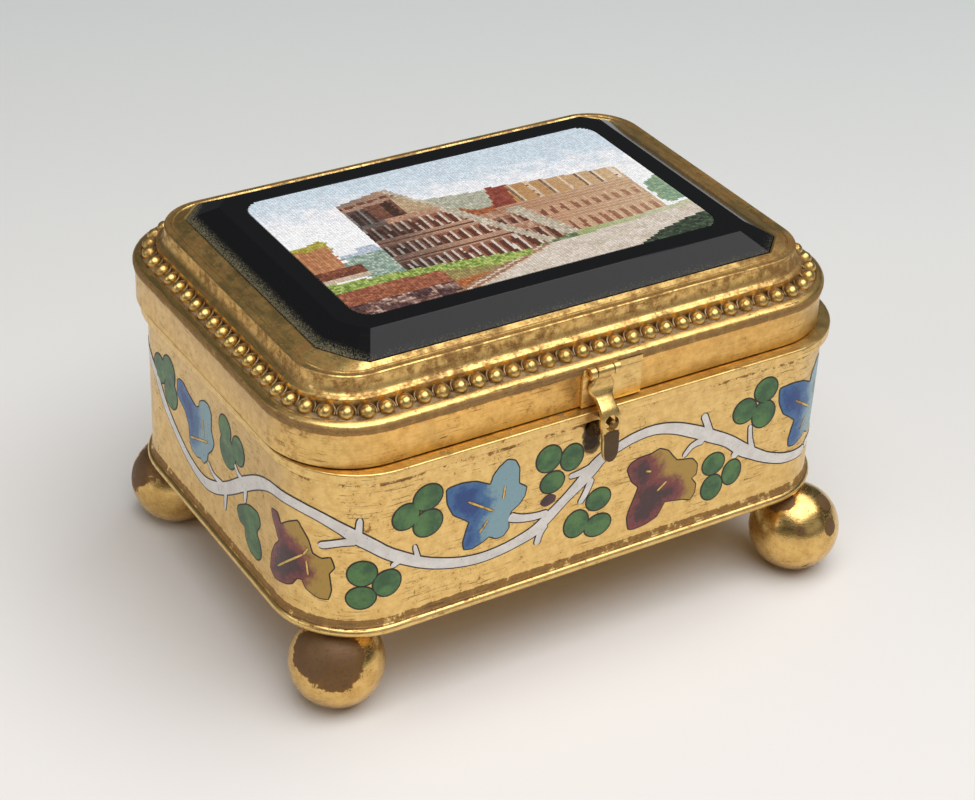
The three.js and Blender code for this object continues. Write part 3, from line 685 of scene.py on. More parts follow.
def far_wall(x, y, shade):
    """The lower wall that runs off to the right, in warm light."""
    fade = min(1.0, max(0.0, (x - 6) / 20))
    if y > 0.9:
        if x < edge(y, (0.9, 6.4), (6.8, 7.6)):
            return between("#A2483A", "#BC6450", shade)
        rib = ((x - 7.5) / 2.75) % 1.0
        if rib < 0.1:
            return between("#8C6A54", "#B09078", shade)
        if rib < 0.28:
            return between("#DCC0A0", "#E8D8C4", fade)
        return between("#CC9458", "#DDBE98", 0.9 * fade + 0.25 * shade)
    if y > -2.0 or -4.6 > y > -6.8:
        bar = (y * 1.4) % 1.0
        return between("#C48A68", "#DEC2A0", min(1.0, 0.5 * fade + 0.6 * bar))
    return columns(x, y, -2.0 if y > -4.6 else -6.8, 1.75, ("#D8A884", "#E2C8A6"), ("#CE9C78", "#DCBC98"),
                   ("#96503E", "#CFA080"), min(1.0, 0.75 * fade + 0.3 * shade))


def foreground(x, y, shade, drift):
    """Grass, broken stones and the road in front of the ruin."""
    if y > edge(x, (-29, -10.8), (-15, -11.2), (-5, -13.8), (0.5, -13.0),
                (1, -11.6), (9, -11.6), (14, -11.4), (30, -10.6)):
        if x > 9:
            return between("#A9B874", "#CFCDAC", (x - 9) / 16 + 0.3 * shade)
        return between("#7E9C3E", "#C6D478", shade * 1.2) if x < 3 else between("#5E7A50", "#A8B088", shade)
    if x > 13 and y < edge(x, (15.5, -17.8), (20, -15.6), (26, -14.0), (30, -13.4)):
        return between("#33443A", "#66785A", shade)
    kerb = -10.2 + (y + 17.7) * 2.6
    if x > kerb:
        return between("#D0C0AC", "#E4DAD0", 0.5 * shade + 0.5 * drift)
    if x > kerb - 4.8:
        stripe = ((kerb - x) / 2.4) % 1.0
        dark, light = ("#D8B8A0", "#E6D4C6") if stripe < 0.42 else ("#A87C5E", "#C49C7C")
        return between(dark, light, shade)
    if y > -14.6:
        if x > -13.5:
            return between("#A08E58", "#C2AE72", shade)
        return between("#A4583E", "#CC8462", shade)
    if x > -13.5:
        return between("#B8643A", "#DA8E5A", shade)
    return between("#54363A", "#8E6660", shade) if drift < 0.5 else between("#7A4A3E", "#D4BCAE", shade)


def picture(x, y):
    """The picture with its shadows deepened, as the glass shows them."""
    colour = painted(x, y)
    light = sum(colour) / 3
    return tuple(min(1.0, 1.1 * c * (1 - 0.42 * (1 - light))) for c in colour)


def painted(x, y):
    """The picture at a point of the panel, as sRGB: a ruined arcade beside a road, under a pale sky."""
    drift = 0.5 + noise.noise(Vector((x * 0.35, y * 0.6, 3.1)))
    shade = min(1.0, max(0.0, 0.5 + 1.1 * noise.noise(Vector((x * 1.9, y * 2.6, 7.7)))))
    grass = edge(x, (-29, -8.4), (-18, -9.3), (-10, -10.2), (0.5, -11.8),
                 (9, -10.4), (26, -9.8), (30, -9.2))
    if y < grass:
        return foreground(x, y, shade, drift)
    slope = edge(-y, (-13, -9.0), (-10, -7.2), (-8, -6.0), (-6.2, -4.4), (-4, -3.2), (2.2, 0.3), (7, 3.2),
                 (11, 5.8))
    if -17.7 < x < slope and y < edge(x, (-17.8, 11.3), (-9.1, 13.0), (-8.9, 13.1)):
        if slope - x < (1.9 if y < 4 else 1.0):
            return between("#B7A993", "#DDD0BC", shade)
        return tall_ruin(x, y, shade)
    spur = edge(-y, (0, 6.0), (5, 7.9), (10.5, 10.2))
    if 3.8 < x < spur and y < 0 and spur - x < 2.5:
        return between("#B9AB94", "#DCD0BC", shade)
    red = edge(x, (2.9, 2.6), (4.4, 6.8), (7.4, 6.3), (16, 5.2), (25.4, 4.3), (25.6, -11))
    if (x > spur and y <= 0 or x > edge(y, (0, 2.4), (6.8, 4.5)) and y > 0) and x < 25.7 and y < red:
        return far_wall(x, y, shade)
    if slope <= x <= 8 and y < 0:
        return columns(x, y, -2.0, 1.7, ("#C9A890", "#DABFA4"),
                       ("#A87058", "#B88468"), ("#6E3E34", "#8A5040"), shade) \
            if -2.0 > y > -4.6 or y < -6.6 else between("#B98468", "#D8B498", shade)
    if -2 < x < 4.4 and y < edge(x, (-2, 3.0), (0, 1.6), (2.6, 1.6), (3.2, 2.6), (4.4, 6)):
        return between("#B8603A", "#D08C5C", shade)
    if -5.4 < x < 4.4 and y < edge(x, (-5.4, 7.6), (4.4, 6.2)):
        return between("#AEB09A", "#CFCBB8", shade)
    if x < -24.3 and y < 1.2 + 0.4 * drift and y > -5:
        return between("#C4784C", "#DEA678", 0.5 * shade + 0.5 * ((x * 0.8) % 1))
    if x < -22.4 and -8.2 < y <= -5:
        return between("#7E4434", "#B8704E", shade) if y > -7.2 else between("#CDB59C", "#DECBB6", shade)
    if x < -23.9 and y < 2.4 + 1.1 * drift and y > 0:
        return between("#B2A43A", "#D6C860", shade)
    if ((x + 20.2) / 4.2) ** 2 + ((y + 5.6) / 4.6) ** 2 + 0.8 * (drift - 0.5) < 1:
        return between("#86A28E", "#C3CEC2", shade) if y < -2.6 else between("#AEBACC", "#CAD2DC", shade)
    if ((x - 29) / 3.2) ** 2 + ((y + 5.2) / 4.0) ** 2 + 0.8 * (drift - 0.5) < 1:
        return between("#86A890", "#B0C49C", shade)
    haze = 0.5 + (y - 9.5 + 0.08 * x) / 9 + 0.5 * (drift - 0.5)
    return between(*SKY, haze + 0.14 * (shade - 0.5))


def make_mosaic(glass, cement):
    """Thousands of small glass pieces in rows, set in a bed of cement."""
    dice = random.Random(7)
    bed_top = LID_TOP - 0.14
    points, tints, sizes_of, turns = [], [], [], []
    rows = 94
    chip_length = 0.43
    chip_height = 0.16
    joint = 0.014
    tall = PANEL_D / rows
    for row in range(rows):
        y = -PANEL_D / 2 + (row + 0.5) * tall
        over = max(0.0, abs(y) - (PANEL_D / 2 - PANEL_R))
        reach = PANEL_L / 2 - PANEL_R + math.sqrt(PANEL_R ** 2 - over ** 2)
        inner = [k * chip_length + dice.uniform(-0.05, 0.05) for k in range(-70, 71)
                 if abs(k * chip_length) < reach - 0.25]
        cuts = [-reach, *inner, reach]
        for x, after in zip(cuts, cuts[1:]):
            length = after - x
            cx = x + length / 2
            light = dice.uniform(0.95, 1.05)
            points.append((LID.x + cx, LID.y + y, bed_top - 0.033 + dice.uniform(-0.008, 0.008)))
            code = "".join(f"{max(0, min(255, int(255 * c * light))):02X}" for c in picture(cx, y))
            tints.append(tint("#" + code))
            sizes_of.append((length - joint, tall - joint, chip_height))
            turns.append(dice.uniform(-0.03, 0.03))
    base = bpy.data.meshes.new("tessera_points")
    base.from_pydata([tuple(c * MM for c in p) for p in points], [], [])
    colours = base.attributes.new("tint", "FLOAT_COLOR", "POINT")
    spans = base.attributes.new("span", "FLOAT_VECTOR", "POINT")
    angles = base.attributes.new("turn", "FLOAT_VECTOR", "POINT")
    for i, (colour, span, turn) in enumerate(zip(tints, sizes_of, turns)):
        colours.data[i].color = colour
        spans.data[i].vector = [c * MM for c in span]
        angles.data[i].vector = (0, 0, turn)
    sizes = [("Taper", "NodeSocketFloat", 0.665)]
    tree = node_tree("tesserae", sizes)
    tree.interface.new_socket("Finish", in_out="INPUT", socket_type="NodeSocketMaterial")
    start = add_node(tree, "NodeGroupInput")
    spots = add_node(tree, "GeometryNodeMeshToPoints", start.outputs["Geometry"])
    chip = add_node(tree, "GeometryNodeMeshCone", Vertices=4, Radius_Top=start.outputs["Taper"],
                    Radius_Bottom=0.7071, Depth=1.0)
    square = add_node(tree, "GeometryNodeTransform", chip, Rotation=(0, 0, math.pi / 4))
    span = add_node(tree, "GeometryNodeInputNamedAttribute", data_type="FLOAT_VECTOR", Name="span")
    turn = add_node(tree, "GeometryNodeInputNamedAttribute", data_type="FLOAT_VECTOR", Name="turn")
    facing = add_node(tree, "FunctionNodeEulerToRotation", turn)
    copies = add_node(tree, "GeometryNodeInstanceOnPoints", spots, Instance=square, Rotation=facing,
                      Scale=span)
    solid = add_node(tree, "GeometryNodeRealizeInstances", copies)
    coat = add_node(tree, "GeometryNodeSetMaterial", solid, Material=start.outputs["Finish"])
    add_node(tree, "NodeGroupOutput", coat)
    mesh = grown("mosaic_tesserae", base, tree, sizes, glass)
    mesh.shade_flat()
    finish_piece(mesh, "mosaic_tesserae", glass, "lid", "tesserae", ["mosaic_panel"], 0)
    half = (PANEL_L / 2, PANEL_D / 2)
    verts, faces = loft([round_ring(LID, *half, PANEL_R, LID_TOP - 1.2),
                         round_ring(LID, *half, PANEL_R, bed_top)])
    build("mosaic_cement", verts, faces, cement, "lid", "tesserae")


# ---------------------------------------------------------------- enamel on the walls

STRAIGHT_X = 2 * (HALF_L - CORNER_R)
STRAIGHT_Y = 2 * (HALF_D - CORNER_R)
BEND = math.pi / 2 * CORNER_R
ROUND = 2 * (STRAIGHT_X + STRAIGHT_Y) + 4 * BEND


def on_wall(s, z, lift):
    """A point on the tub's wall. s runs from the middle of the front, to the right."""
    rest = (s + STRAIGHT_X / 2) % ROUND
    for side in range(4):
        straight = STRAIGHT_X if side % 2 == 0 else STRAIGHT_Y
        reach = HALF_D if side % 2 == 0 else HALF_L
        turn = Matrix.Rotation(side * math.pi / 2, 3, "Z")
        if rest <= straight:
            return TUB + turn @ Vector((rest - straight / 2, -reach - lift, z))
        rest -= straight
        if rest <= BEND:
            t = rest / CORNER_R
            r = CORNER_R + lift
            spot = Vector((straight / 2 + r * math.sin(t), -(reach - CORNER_R) - r * math.cos(t), z))
            return TUB + turn @ spot
        rest -= BEND
    return on_wall(rest, z, lift)


VINE = [
    (-88.8, 30.2, 0.7), (-86.0, 26.6, 0.75), (-82.1, 23.7, 0.7), (-78.1, 21.7, 0.75), (-73.9, 20.9, 0.85),
    (-70.2, 21.8, 0.9), (-65.6, 24.4, 0.9), (-60.5, 28.2, 1.0), (-56.1, 31.1, 0.95), (-52.5, 32.6, 0.8),
    (-48.5, 33.2, 0.75), (-45.7, 33.2, 0.75), (-42.7, 32.6, 0.75), (-39.9, 31.3, 0.8), (-37.9, 30.0, 0.95),
    (-35.7, 28.5, 0.9), (-33.8, 27.0, 0.85), (-31.6, 25.5, 0.85), (-28.4, 23.6, 0.8), (-25.3, 22.3, 0.8),
    (-22.1, 21.4, 0.75), (-18.9, 21.0, 0.75), (-15.7, 21.2, 0.75), (-12.8, 21.8, 0.8), (-10.1, 22.7, 0.9),
    (-7.7, 24.5, 0.85), (-5.4, 26.4, 0.75), (-3.0, 28.4, 0.95), (-1.2, 30.1, 1.05), (0.7, 31.7, 0.85),
    (3.3, 32.6, 0.75), (5.9, 33.3, 0.75), (9.1, 33.5, 0.75), (12.6, 32.7, 0.85), (16.3, 31.0, 0.95),
    (19.4, 29.3, 0.95), (22.5, 27.5, 0.9), (25.2, 25.3, 1.0), (27.2, 24.0, 0.9), (29.8, 22.5, 0.8),
    (32.7, 21.4, 0.8), (35.6, 20.8, 0.75), (38.8, 20.4, 0.75)]
VINE_FRONT = 21
TWIGS_LEFT = [
    [(-66.3, 23.7, 0.5), (-66.7, 20.0, 0.25)],
    [(-59.9, 28.1, 0.5), (-60.3, 25.2, 0.35)],
    [(-60.5, 28.5, 0.5), (-62.3, 28.9, 0.4), (-63.2, 29.9, 0.3)],
    [(-66.9, 24.0, 0.5), (-70.1, 23.9, 0.35), (-72.0, 25.1, 0.25)],
    [(-37.5, 30.1, 0.5), (-37.3, 33.0, 0.35)],
    [(-37.7, 29.3, 0.6), (-39.9, 28.9, 0.5), (-42.9, 27.9, 0.5)],
    [(-31.3, 25.2, 0.5), (-32.9, 24.3, 0.4)],
    [(-28.7, 24.0, 0.4), (-29.4, 26.8, 0.25)]]
TWIGS = [
    [(-14.5, 26.4, 0.7), (-12.7, 25.6, 0.6), (-10.2, 25.1, 0.55), (-8.1, 25.1, 0.5)],
    [(-8.4, 23.2, 0.6), (-9.2, 21.9, 0.5), (-9.7, 20.1, 0.45)],
    [(-1.5, 30.4, 0.6), (-3.2, 30.1, 0.5), (-5.0, 30.0, 0.35)],
    [(-1.1, 28.6, 0.5), (-1.9, 26.5, 0.5), (-2.9, 24.8, 0.4)],
    [(19.0, 29.8, 0.6), (18.3, 31.7, 0.5), (17.5, 33.6, 0.5)],
    [(18.0, 29.1, 0.6), (16.0, 28.7, 0.45), (14.6, 27.2, 0.35)],
    [(24.5, 25.3, 0.7), (23.6, 24.3, 0.5)],
    [(27.1, 24.5, 0.5), (26.5, 26.8, 0.35), (26.2, 29.2, 0.3)]]
TREFOILS_LEFT = [
    [(-87.6, 32.0, 2.0, 2.4), (-84.5, 33.1, 2.1, 2.6), (-84.0, 29.7, 2.2, 2.5)],
    [(-66.2, 33.9, 1.9, 2.2), (-65.4, 30.6, 2.5, 2.6), (-62.1, 32.6, 1.9, 2.3)],
    [(-36.9, 23.9, 2.1, 2.1), (-37.0, 19.9, 2.1, 1.9), (-33.4, 21.8, 2.1, 2.2)],
    [(-27.5, 33.9, 2.3, 2.1), (-30.8, 31.8, 2.1, 2.1), (-27.4, 29.7, 2.3, 2.2)]]
TREFOILS = [
    [(-8.5, 34.1, 2.1, 2.2), (-4.7, 33.2, 1.9, 2.2), (-7.7, 30.0, 2.0, 1.8)],
    [(0.3, 24.6, 2.1, 1.9), (-3.2, 21.5, 2.1, 2.3), (0.5, 20.1, 2.3, 1.9)],
    [(20.2, 24.3, 2.0, 1.9), (23.7, 21.8, 1.7, 2.2), (20.3, 20.2, 1.9, 2.2)],
    [(28.4, 34.5, 2.1, 2.1), (24.9, 31.9, 2.1, 2.1), (28.4, 30.4, 2.1, 2.3)]]
BLUE = [
    (-24.6, 34.0), (-24.0, 34.3), (-22.3, 34.4), (-20.1, 34.0), (-17.8, 32.8), (-17.3, 34.1), (-16.4, 35.2),
    (-15.2, 36.0), (-14.0, 35.5), (-13.3, 34.1), (-13.2, 31.6), (-12.0, 30.6), (-12.2, 29.2), (-13.0, 28.1),
    (-14.2, 27.3), (-14.6, 26.1), (-14.5, 24.6), (-15.3, 23.6), (-16.4, 23.5), (-17.6, 24.2), (-18.5, 23.7),
    (-20.2, 23.1), (-21.5, 23.4), (-21.7, 24.6), (-21.3, 26.3), (-20.9, 27.7), (-22.2, 28.8), (-23.4, 29.7),
    (-24.4, 31.8)]
BLUE_SHADE = [
    (-24.5, 33.8), (-24.0, 34.1), (-22.3, 34.2), (-20.1, 33.8), (-19.1, 33.2), (-19.4, 31.5), (-18.3, 30.0),
    (-19.2, 28.3), (-19.7, 26.3), (-19.7, 24.3), (-20.1, 23.3), (-21.4, 23.5), (-21.6, 24.6), (-21.2, 26.3),
    (-20.8, 27.7), (-22.1, 28.9), (-23.3, 29.8), (-24.3, 31.8)]
BLUE_VEINS = [[(-21.2, 31.1), (-17.0, 28.2)], [(-15.4, 31.8), (-15.6, 29.8)],
              [(-19.2, 25.3), (-17.9, 27.0)]]
AMBER = [
    (5.0, 28.0), (5.5, 28.9), (6.9, 29.4), (9.0, 29.5), (10.3, 29.9),
    (11.8, 29.1), (13.5, 27.0), (16.2, 26.4),
    (17.2, 25.2), (17.2, 23.6), (16.4, 23.0), (17.3, 21.7), (17.2, 20.3), (16.6, 19.3), (15.2, 19.8),
    (13.2, 20.2), (12.0, 20.3), (10.8, 18.2), (8.9, 17.5), (7.0, 17.3),
    (6.0, 17.6), (5.6, 19.6), (6.0, 21.2),
    (6.8, 23.3), (7.1, 24.5), (5.9, 25.8)]
AMBER_SHADE = [
    (5.1, 28.0), (5.6, 28.8), (6.9, 29.2), (8.3, 29.1), (9.1, 28.1), (9.8, 26.5), (9.1, 25.0), (10.9, 24.1),
    (13.8, 22.6), (14.3, 21.3), (13.2, 20.4), (12.0, 20.4), (10.8, 18.4),
    (8.9, 17.7), (7.0, 17.5), (6.1, 17.7),
    (5.8, 19.6), (6.1, 21.2), (6.9, 23.3), (7.2, 24.5), (6.0, 25.8)]
AMBER_VEINS = [[(8.2, 26.8), (9.1, 26.5)], [(10.5, 22.7), (12.0, 23.9)]]
CORNER = [
    (-52.0, 29.3), (-50.5, 29.7), (-49.5, 28.4), (-47.9, 29.6), (-46.2, 30.6), (-45.6, 29.9), (-44.4, 28.2),
    (-43.8, 26.3), (-42.4, 25.8), (-41.2, 26.2), (-40.7, 24.7), (-41.4, 23.6), (-41.1, 21.0), (-41.5, 19.4),
    (-42.9, 19.3), (-44.7, 20.2), (-45.4, 21.4), (-46.3, 21.2), (-47.2, 19.9), (-48.4, 19.2), (-51.3, 18.4),
    (-52.5, 19.2), (-52.1, 21.9), (-51.2, 23.8), (-50.0, 25.3), (-50.9, 26.9), (-51.7, 28.0)]
CORNER_SHADE = [
    (-51.9, 29.2), (-50.5, 29.5), (-49.5, 27.9), (-48.8, 26.3), (-47.2, 26.4), (-46.4, 25.8), (-45.1, 24.7),
    (-44.7, 22.9), (-45.4, 21.5), (-46.3, 21.3), (-47.2, 20.0), (-48.4, 19.4), (-51.2, 18.6), (-52.3, 19.3),
    (-51.9, 21.9), (-51.1, 23.8), (-49.9, 25.3), (-50.8, 26.9), (-51.6, 28.0)]
CORNER_VEINS = [[(-50.4, 20.9), (-47.6, 23.5), (-45.1, 25.7)], [(-45.1, 25.7), (-44.4, 26.9)],
                [(-44.7, 24.8), (-44.4, 22.5)]]
LEFT = [
    (-81.6, 33.2), (-80.9, 33.8), (-79.7, 33.9), (-78.1, 33.1), (-75.5, 32.2), (-74.5, 32.8), (-74.2, 33.8),
    (-72.8, 34.7), (-71.5, 34.8), (-70.6, 33.7), (-70.7, 31.1), (-69.9, 29.3), (-70.6, 27.8), (-71.9, 26.5),
    (-72.3, 25.1), (-73.4, 24.0), (-74.3, 24.3), (-75.7, 23.8), (-77.4, 24.2), (-77.9, 25.6), (-78.1, 27.7),
    (-79.3, 29.5), (-81.6, 30.8)]
LEFT_SHADE = [
    (-81.5, 33.0), (-80.8, 33.6), (-79.7, 33.7), (-78.1, 32.9), (-75.9, 32.0), (-75.3, 30.1), (-75.8, 27.8),
    (-77.0, 26.0), (-77.7, 26.0), (-78.0, 27.7), (-79.2, 29.6), (-81.4, 30.9)]
LEFT_VEINS = [[(-77.6, 26.0), (-71.8, 28.4)], [(-73.3, 31.3), (-73.1, 28.5)]]
PAIR = [
    (-62.5, 23.1), (-60.6, 24.6), (-58.7, 25.6), (-56.3, 25.8), (-55.7, 24.3), (-56.7, 22.5), (-55.7, 20.9),
    (-55.5, 19.1), (-56.8, 17.9), (-58.9, 18.2), (-60.1, 19.5), (-60.4, 21.1), (-62.0, 21.4)]
BERRY = [(-9.5, 27.0), (-8.4, 28.1), (-7.0, 27.6), (-7.2, 26.6), (-8.6, 26.2)]
LEAF_STEP = 55.6


def carried(shape, turn):
    """The same shape further round, on the walls that follow the front."""
    return [((p[0] + 18.9) * 0.962 + 38.8 + 55.5 * turn, *p[1:]) for p in shape]


def moved(shape, ds, dz=0.0):
    return [(p[0] + ds, p[1] + dz, *p[2:]) for p in shape]


def ellipse(s, z, rs, rz, tilt=0.0):
    return [(s + rs * math.cos(t) * math.cos(tilt) - rz * math.sin(t) * math.sin(tilt),
             z + rs * math.cos(t) * math.sin(tilt) + rz * math.sin(t) * math.cos(tilt))
            for t in (math.tau * i / 24 for i in range(24))]


def grow_outline(outline, by):
    """The outline pushed outwards."""
    area = sum(a[0] * b[1] - b[0] * a[1] for a, b in zip(outline, outline[1:] + outline[:1]))
    side = 1 if area > 0 else -1
    out = []
    for a, p, b in zip(outline[-1:] + outline[:-1], outline, outline[1:] + outline[:1]):
        run = Vector((b[0] - a[0], b[1] - a[1]))
        if run.length > 1e-6:
            run.normalize()
        out.append((p[0] + side * run.y * by, p[1] - side * run.x * by))
    return out


def patch(outline, lift, verts, faces, step=0.9):
    """Fills an outline with small triangles that follow the wall, and returns their flat points."""
    lows = [min(p[k] for p in outline) for k in (0, 1)]
    highs = [max(p[k] for p in outline) for k in (0, 1)]
    points = [Vector(p[:2]) for p in outline]
    count = len(points)
    columns = int((highs[0] - lows[0]) / step)
    levels = int((highs[1] - lows[1]) / step)
    for i in range(1, columns + 1):
        for j in range(1, levels + 1):
            points.append(Vector((lows[0] + (i - 0.5 * (j % 2)) * step, lows[1] + j * step)))
    made, _, cells, *_ = delaunay_2d_cdt(points, [], [list(range(count))], 1, 1e-5)
    first = len(verts)
    verts += [on_wall(p.x, p.y, lift) for p in made]
    for cell in cells:
        a, b, c = (made[i] for i in cell[:3])
        flip = (b - a).cross(c - a) < 0
        faces.append(tuple(first + i for i in (reversed(cell) if flip else cell)))
    return made


def ribbon(line, lift, grow, verts, faces):
    """A strip along a line of (s, z, half width), with rounded ends."""
    samples = curve_through(line, 8)
    left, right = [], []
    for i, (s, z, half) in enumerate(samples):
        a, b = samples[max(0, i - 1)], samples[min(len(samples) - 1, i + 1)]
        run = Vector((b[0] - a[0], b[1] - a[1])).normalized()
        ease = min(1.0, 0.35 + 0.4 * min(i, len(samples) - 1 - i))
        width = half * ease + grow
        left.append((s - run.y * width, z + run.x * width))
        right.append((s + run.y * width, z - run.x * width))
    first = len(verts)
    for a, b in zip(left, right):
        verts += [on_wall(*b, lift), on_wall((a[0] + b[0]) / 2, (a[1] + b[1]) / 2, lift), on_wall(*a, lift)]
    for i in range(len(left) - 1):
        for k in (0, 1):
            n = first + i * 3 + k
            faces.append((n, n + 3, n + 4, n + 1))


def depth_inside(p, outline):
    """How far a point is inside an outline. It is negative outside."""
    inside, near = False, 1e9
    for (x0, y0), (x1, y1) in zip(outline, outline[1:] + outline[:1]):
        if (y0 > p.y) != (y1 > p.y) and p.x < (x1 - x0) * (p.y - y0) / (y1 - y0) + x0:
            inside = not inside
        run = Vector((x1 - x0, y1 - y0))
        t = min(1.0, max(0.0, (p - Vector((x0, y0))).dot(run) / max(1e-9, run.length_squared)))
        near = min(near, (p - Vector((x0, y0)) - run * t).length)
    return near if inside else -near


def make_leaves(name, leaves, material, lines, veins):
    """Leaves in two enamels, each with a dark outline and gold veins."""
    verts, faces, depths = [], [], []
    for outline, dark, strokes in leaves:
        whole = curve_through(outline, 4, True, 0.35)
        for p in patch(whole, 0.03, verts, faces, 0.5):
            depths.append(depth_inside(p, dark))
        patch(grow_outline(whole, 0.2), 0.014, *lines)
        for stroke in strokes:
            if len(stroke) == 2:
                stroke = [stroke[0], tuple((a + b) / 2 for a, b in zip(*stroke)), stroke[1]]
            ribbon([(*p, 0.15) for p in stroke], 0.055, 0.0, *veins)
            ribbon([(*p, 0.15) for p in stroke], 0.045, 0.08, *lines)
    mesh = bpy.data.meshes.new(name)
    mesh.from_pydata([tuple(c * MM for c in v) for v in verts], [], faces)
    mesh.attributes.new("depth", "FLOAT", "POINT").data.foreach_set("value", depths)
    finish_piece(mesh, name, material, "box", "gilt_metal", (), 60)


def make_enamel(finishes):
    """The enamel, flush with the wall: vine, trefoils and two-coloured leaves with dark outlines."""
    vines = [VINE]
    twigs = TWIGS_LEFT + TWIGS
    trefoils = TREFOILS_LEFT + TREFOILS
    right = (moved(BLUE, LEAF_STEP, -0.3), moved(BLUE_SHADE, LEAF_STEP, -0.3),
             [moved(v, LEAF_STEP, -0.3) for v in BLUE_VEINS])
    blue = [(BLUE, BLUE_SHADE, BLUE_VEINS), (LEFT, LEFT_SHADE, LEFT_VEINS), right]
    amber = [(AMBER, AMBER_SHADE, AMBER_VEINS), (CORNER, CORNER_SHADE, CORNER_VEINS)]
    berries = [BERRY]
    for turn in range(3):
        last = turn == 2
        vines.append(carried([p for p in VINE[VINE_FRONT:] if not last or p[0] < 13], turn))
        if last:
            vines[-1] += [(184.4, 32.9, 0.8), (187.8, 32.0, 0.8), (190.6, 30.1, 0.7)]
        twigs += [carried(t, turn) for t in (TWIGS[:4] if last else TWIGS)]
        trefoils += [carried(t, turn) for t in (TREFOILS[:2] if last else TREFOILS)]
        amber.append((carried(AMBER, turn), carried(AMBER_SHADE, turn),
                      [carried(v, turn) for v in AMBER_VEINS]))
        if turn:
            blue.append((carried(BLUE, turn), carried(BLUE_SHADE, turn),
                         [carried(v, turn) for v in BLUE_VEINS]))
        berries.append(carried(BERRY, turn))
    fills = {key: ([], []) for key in ("white", "green", "wine", "line", "vein")}
    for k, line in enumerate(vines):
        ribbon(line, 0.045 + 0.001 * k, 0.0, *fills["white"])
        ribbon(line, 0.02 + 0.001 * k, 0.2, *fills["line"])
    for k, line in enumerate(twigs):
        ribbon(line, 0.039 + 0.001 * (k % 4), 0.0, *fills["white"])
        ribbon(line, 0.013 + 0.001 * (k % 4), 0.2, *fills["line"])
    for group in trefoils + [[(*b, 0, 0) for b in PAIR]]:
        outlines = [curve_through(PAIR, 4, closed=True)]
        if len(group) <= 3:
            outlines = [ellipse(s, z, rs - 0.12, rz - 0.12) for s, z, rs, rz in group]
        for k, leaf in enumerate(outlines):
            patch(leaf, 0.032 + 0.002 * k, *fills["green"])
            patch(grow_outline(leaf, 0.24), 0.008 + 0.002 * k, *fills["line"])
    for berry in berries:
        patch(curve_through(berry, 4, closed=True), 0.03, *fills["wine"])
    make_leaves("enamel_blue_leaves", blue, finishes["blue"], fills["line"], fills["vein"])
    make_leaves("enamel_amber_leaves", amber, finishes["amber"], fills["line"], fills["vein"])
    names = {"white": "enamel_vine", "green": "enamel_trefoils", "wine": "enamel_berries",
             "line": "enamel_outlines",
             "vein": "gilt_leaf_veins"}
    for key, (verts, faces) in fills.items():
        build(names[key], verts, faces, finishes[key], "box", "gilt_metal", smooth=60)


# ---------------------------------------------------------------- feet and fittings


def make_foot(node, side, material):
    """A cast ball with a worn flat below and a solder neck above."""
    low, high = (Vector(c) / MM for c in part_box(node))
    centre = Vector(((low.x + high.x) / 2, (low.y + high.y) / 2, 0))
    radius = (high.x - low.x) / 2
    mid = math.sqrt(radius ** 2 - 1.5 ** 2)
    rings, around = 60, 96
    verts, faces = [], []
    start, end = -math.acos(1.5 / radius), math.acos(0.8 / radius)
    for i in range(rings + 1):
        t = start + (end - start) * i / rings
        for k in range(around):
            a = math.tau * k / around
            spot = Vector((math.cos(t) * math.cos(a), math.cos(t) * math.sin(a), math.sin(t)))
            dent = 0.04 * noise.noise(spot * 2.3 + centre) if 0 < i < rings else 0
            verts.append(centre + Vector((0, 0, mid)) + spot * (radius - abs(dent) * 1.2))
    for i in range(rings):
        for k in range(around):
            a, b = i * around + k, i * around + (k + 1) % around
            faces.append((a, b, b + around, a + around))
    faces.append(tuple(reversed(range(around))))
    faces.append(tuple(range(rings * around, (rings + 1) * around)))
    first = len(verts)
    neck = centre + Vector((-side[0] * 1.2, -side[1] * 1.2, 0))
    steps = 32
    for z, r in ((high.z - 1.8, 1.8), (high.z - 0.5, 1.7), (high.z, 1.9)):
        verts += [neck + Vector((r * math.cos(math.tau * k / steps), r * math.sin(math.tau * k / steps),
                                 z)) for k in range(steps)]
    for i in range(2):
        for k in range(steps):
            a, b = first + i * steps + k, first + i * steps + (k + 1) % steps
            faces.append((a, b, b + steps, a + steps))
    faces.append(tuple(reversed(range(first, first + steps))))
    faces.append(tuple(range(first + 2 * steps, first + 3 * steps)))
    return build("ball_" + node, verts, faces, material, "box", "gilt_metal", [node], 40)


def rod(start, end, radius, steps=32, edge=0.08):
    """A round bar between two points, with small bevels at its ends."""
    axis = (end - start).normalized()
    side = axis.orthogonal().normalized()
    other = axis.cross(side)
    verts, faces = [], []
    length = (end - start).length
    for along, r in ((0, radius - edge), (edge, radius), (length - edge, radius), (length, radius - edge)):
        for k in range(steps):
            t = math.tau * k / steps
            verts.append(start + axis * along + (side * math.cos(t) + other * math.sin(t)) * r)
    for i in range(3):
        for k in range(steps):
            a, b = i * steps + k, i * steps + (k + 1) % steps
            faces.append((a, b, b + steps, a + steps))
    faces.append(tuple(reversed(range(steps))))
    faces.append(tuple(range(3 * steps, 4 * steps)))
    return verts, faces


def slab(low, high, edge=0.1):
    """A block with bevelled edges."""
    work = bmesh.new()
    bmesh.ops.create_cube(work, size=1)
    for v in work.verts:
        v.co = Vector([(l + h) / 2 + c * (h - l) for c, l, h in zip(v.co, low, high)])
    bmesh.ops.bevel(work, geom=work.edges[:], offset=edge, segments=2, profile=0.5, affect="EDGES")
    verts = [v.co.copy() for v in work.verts]
    faces = [tuple(v.index for v in f.verts) for f in work.faces]
    work.free()
    return verts, faces


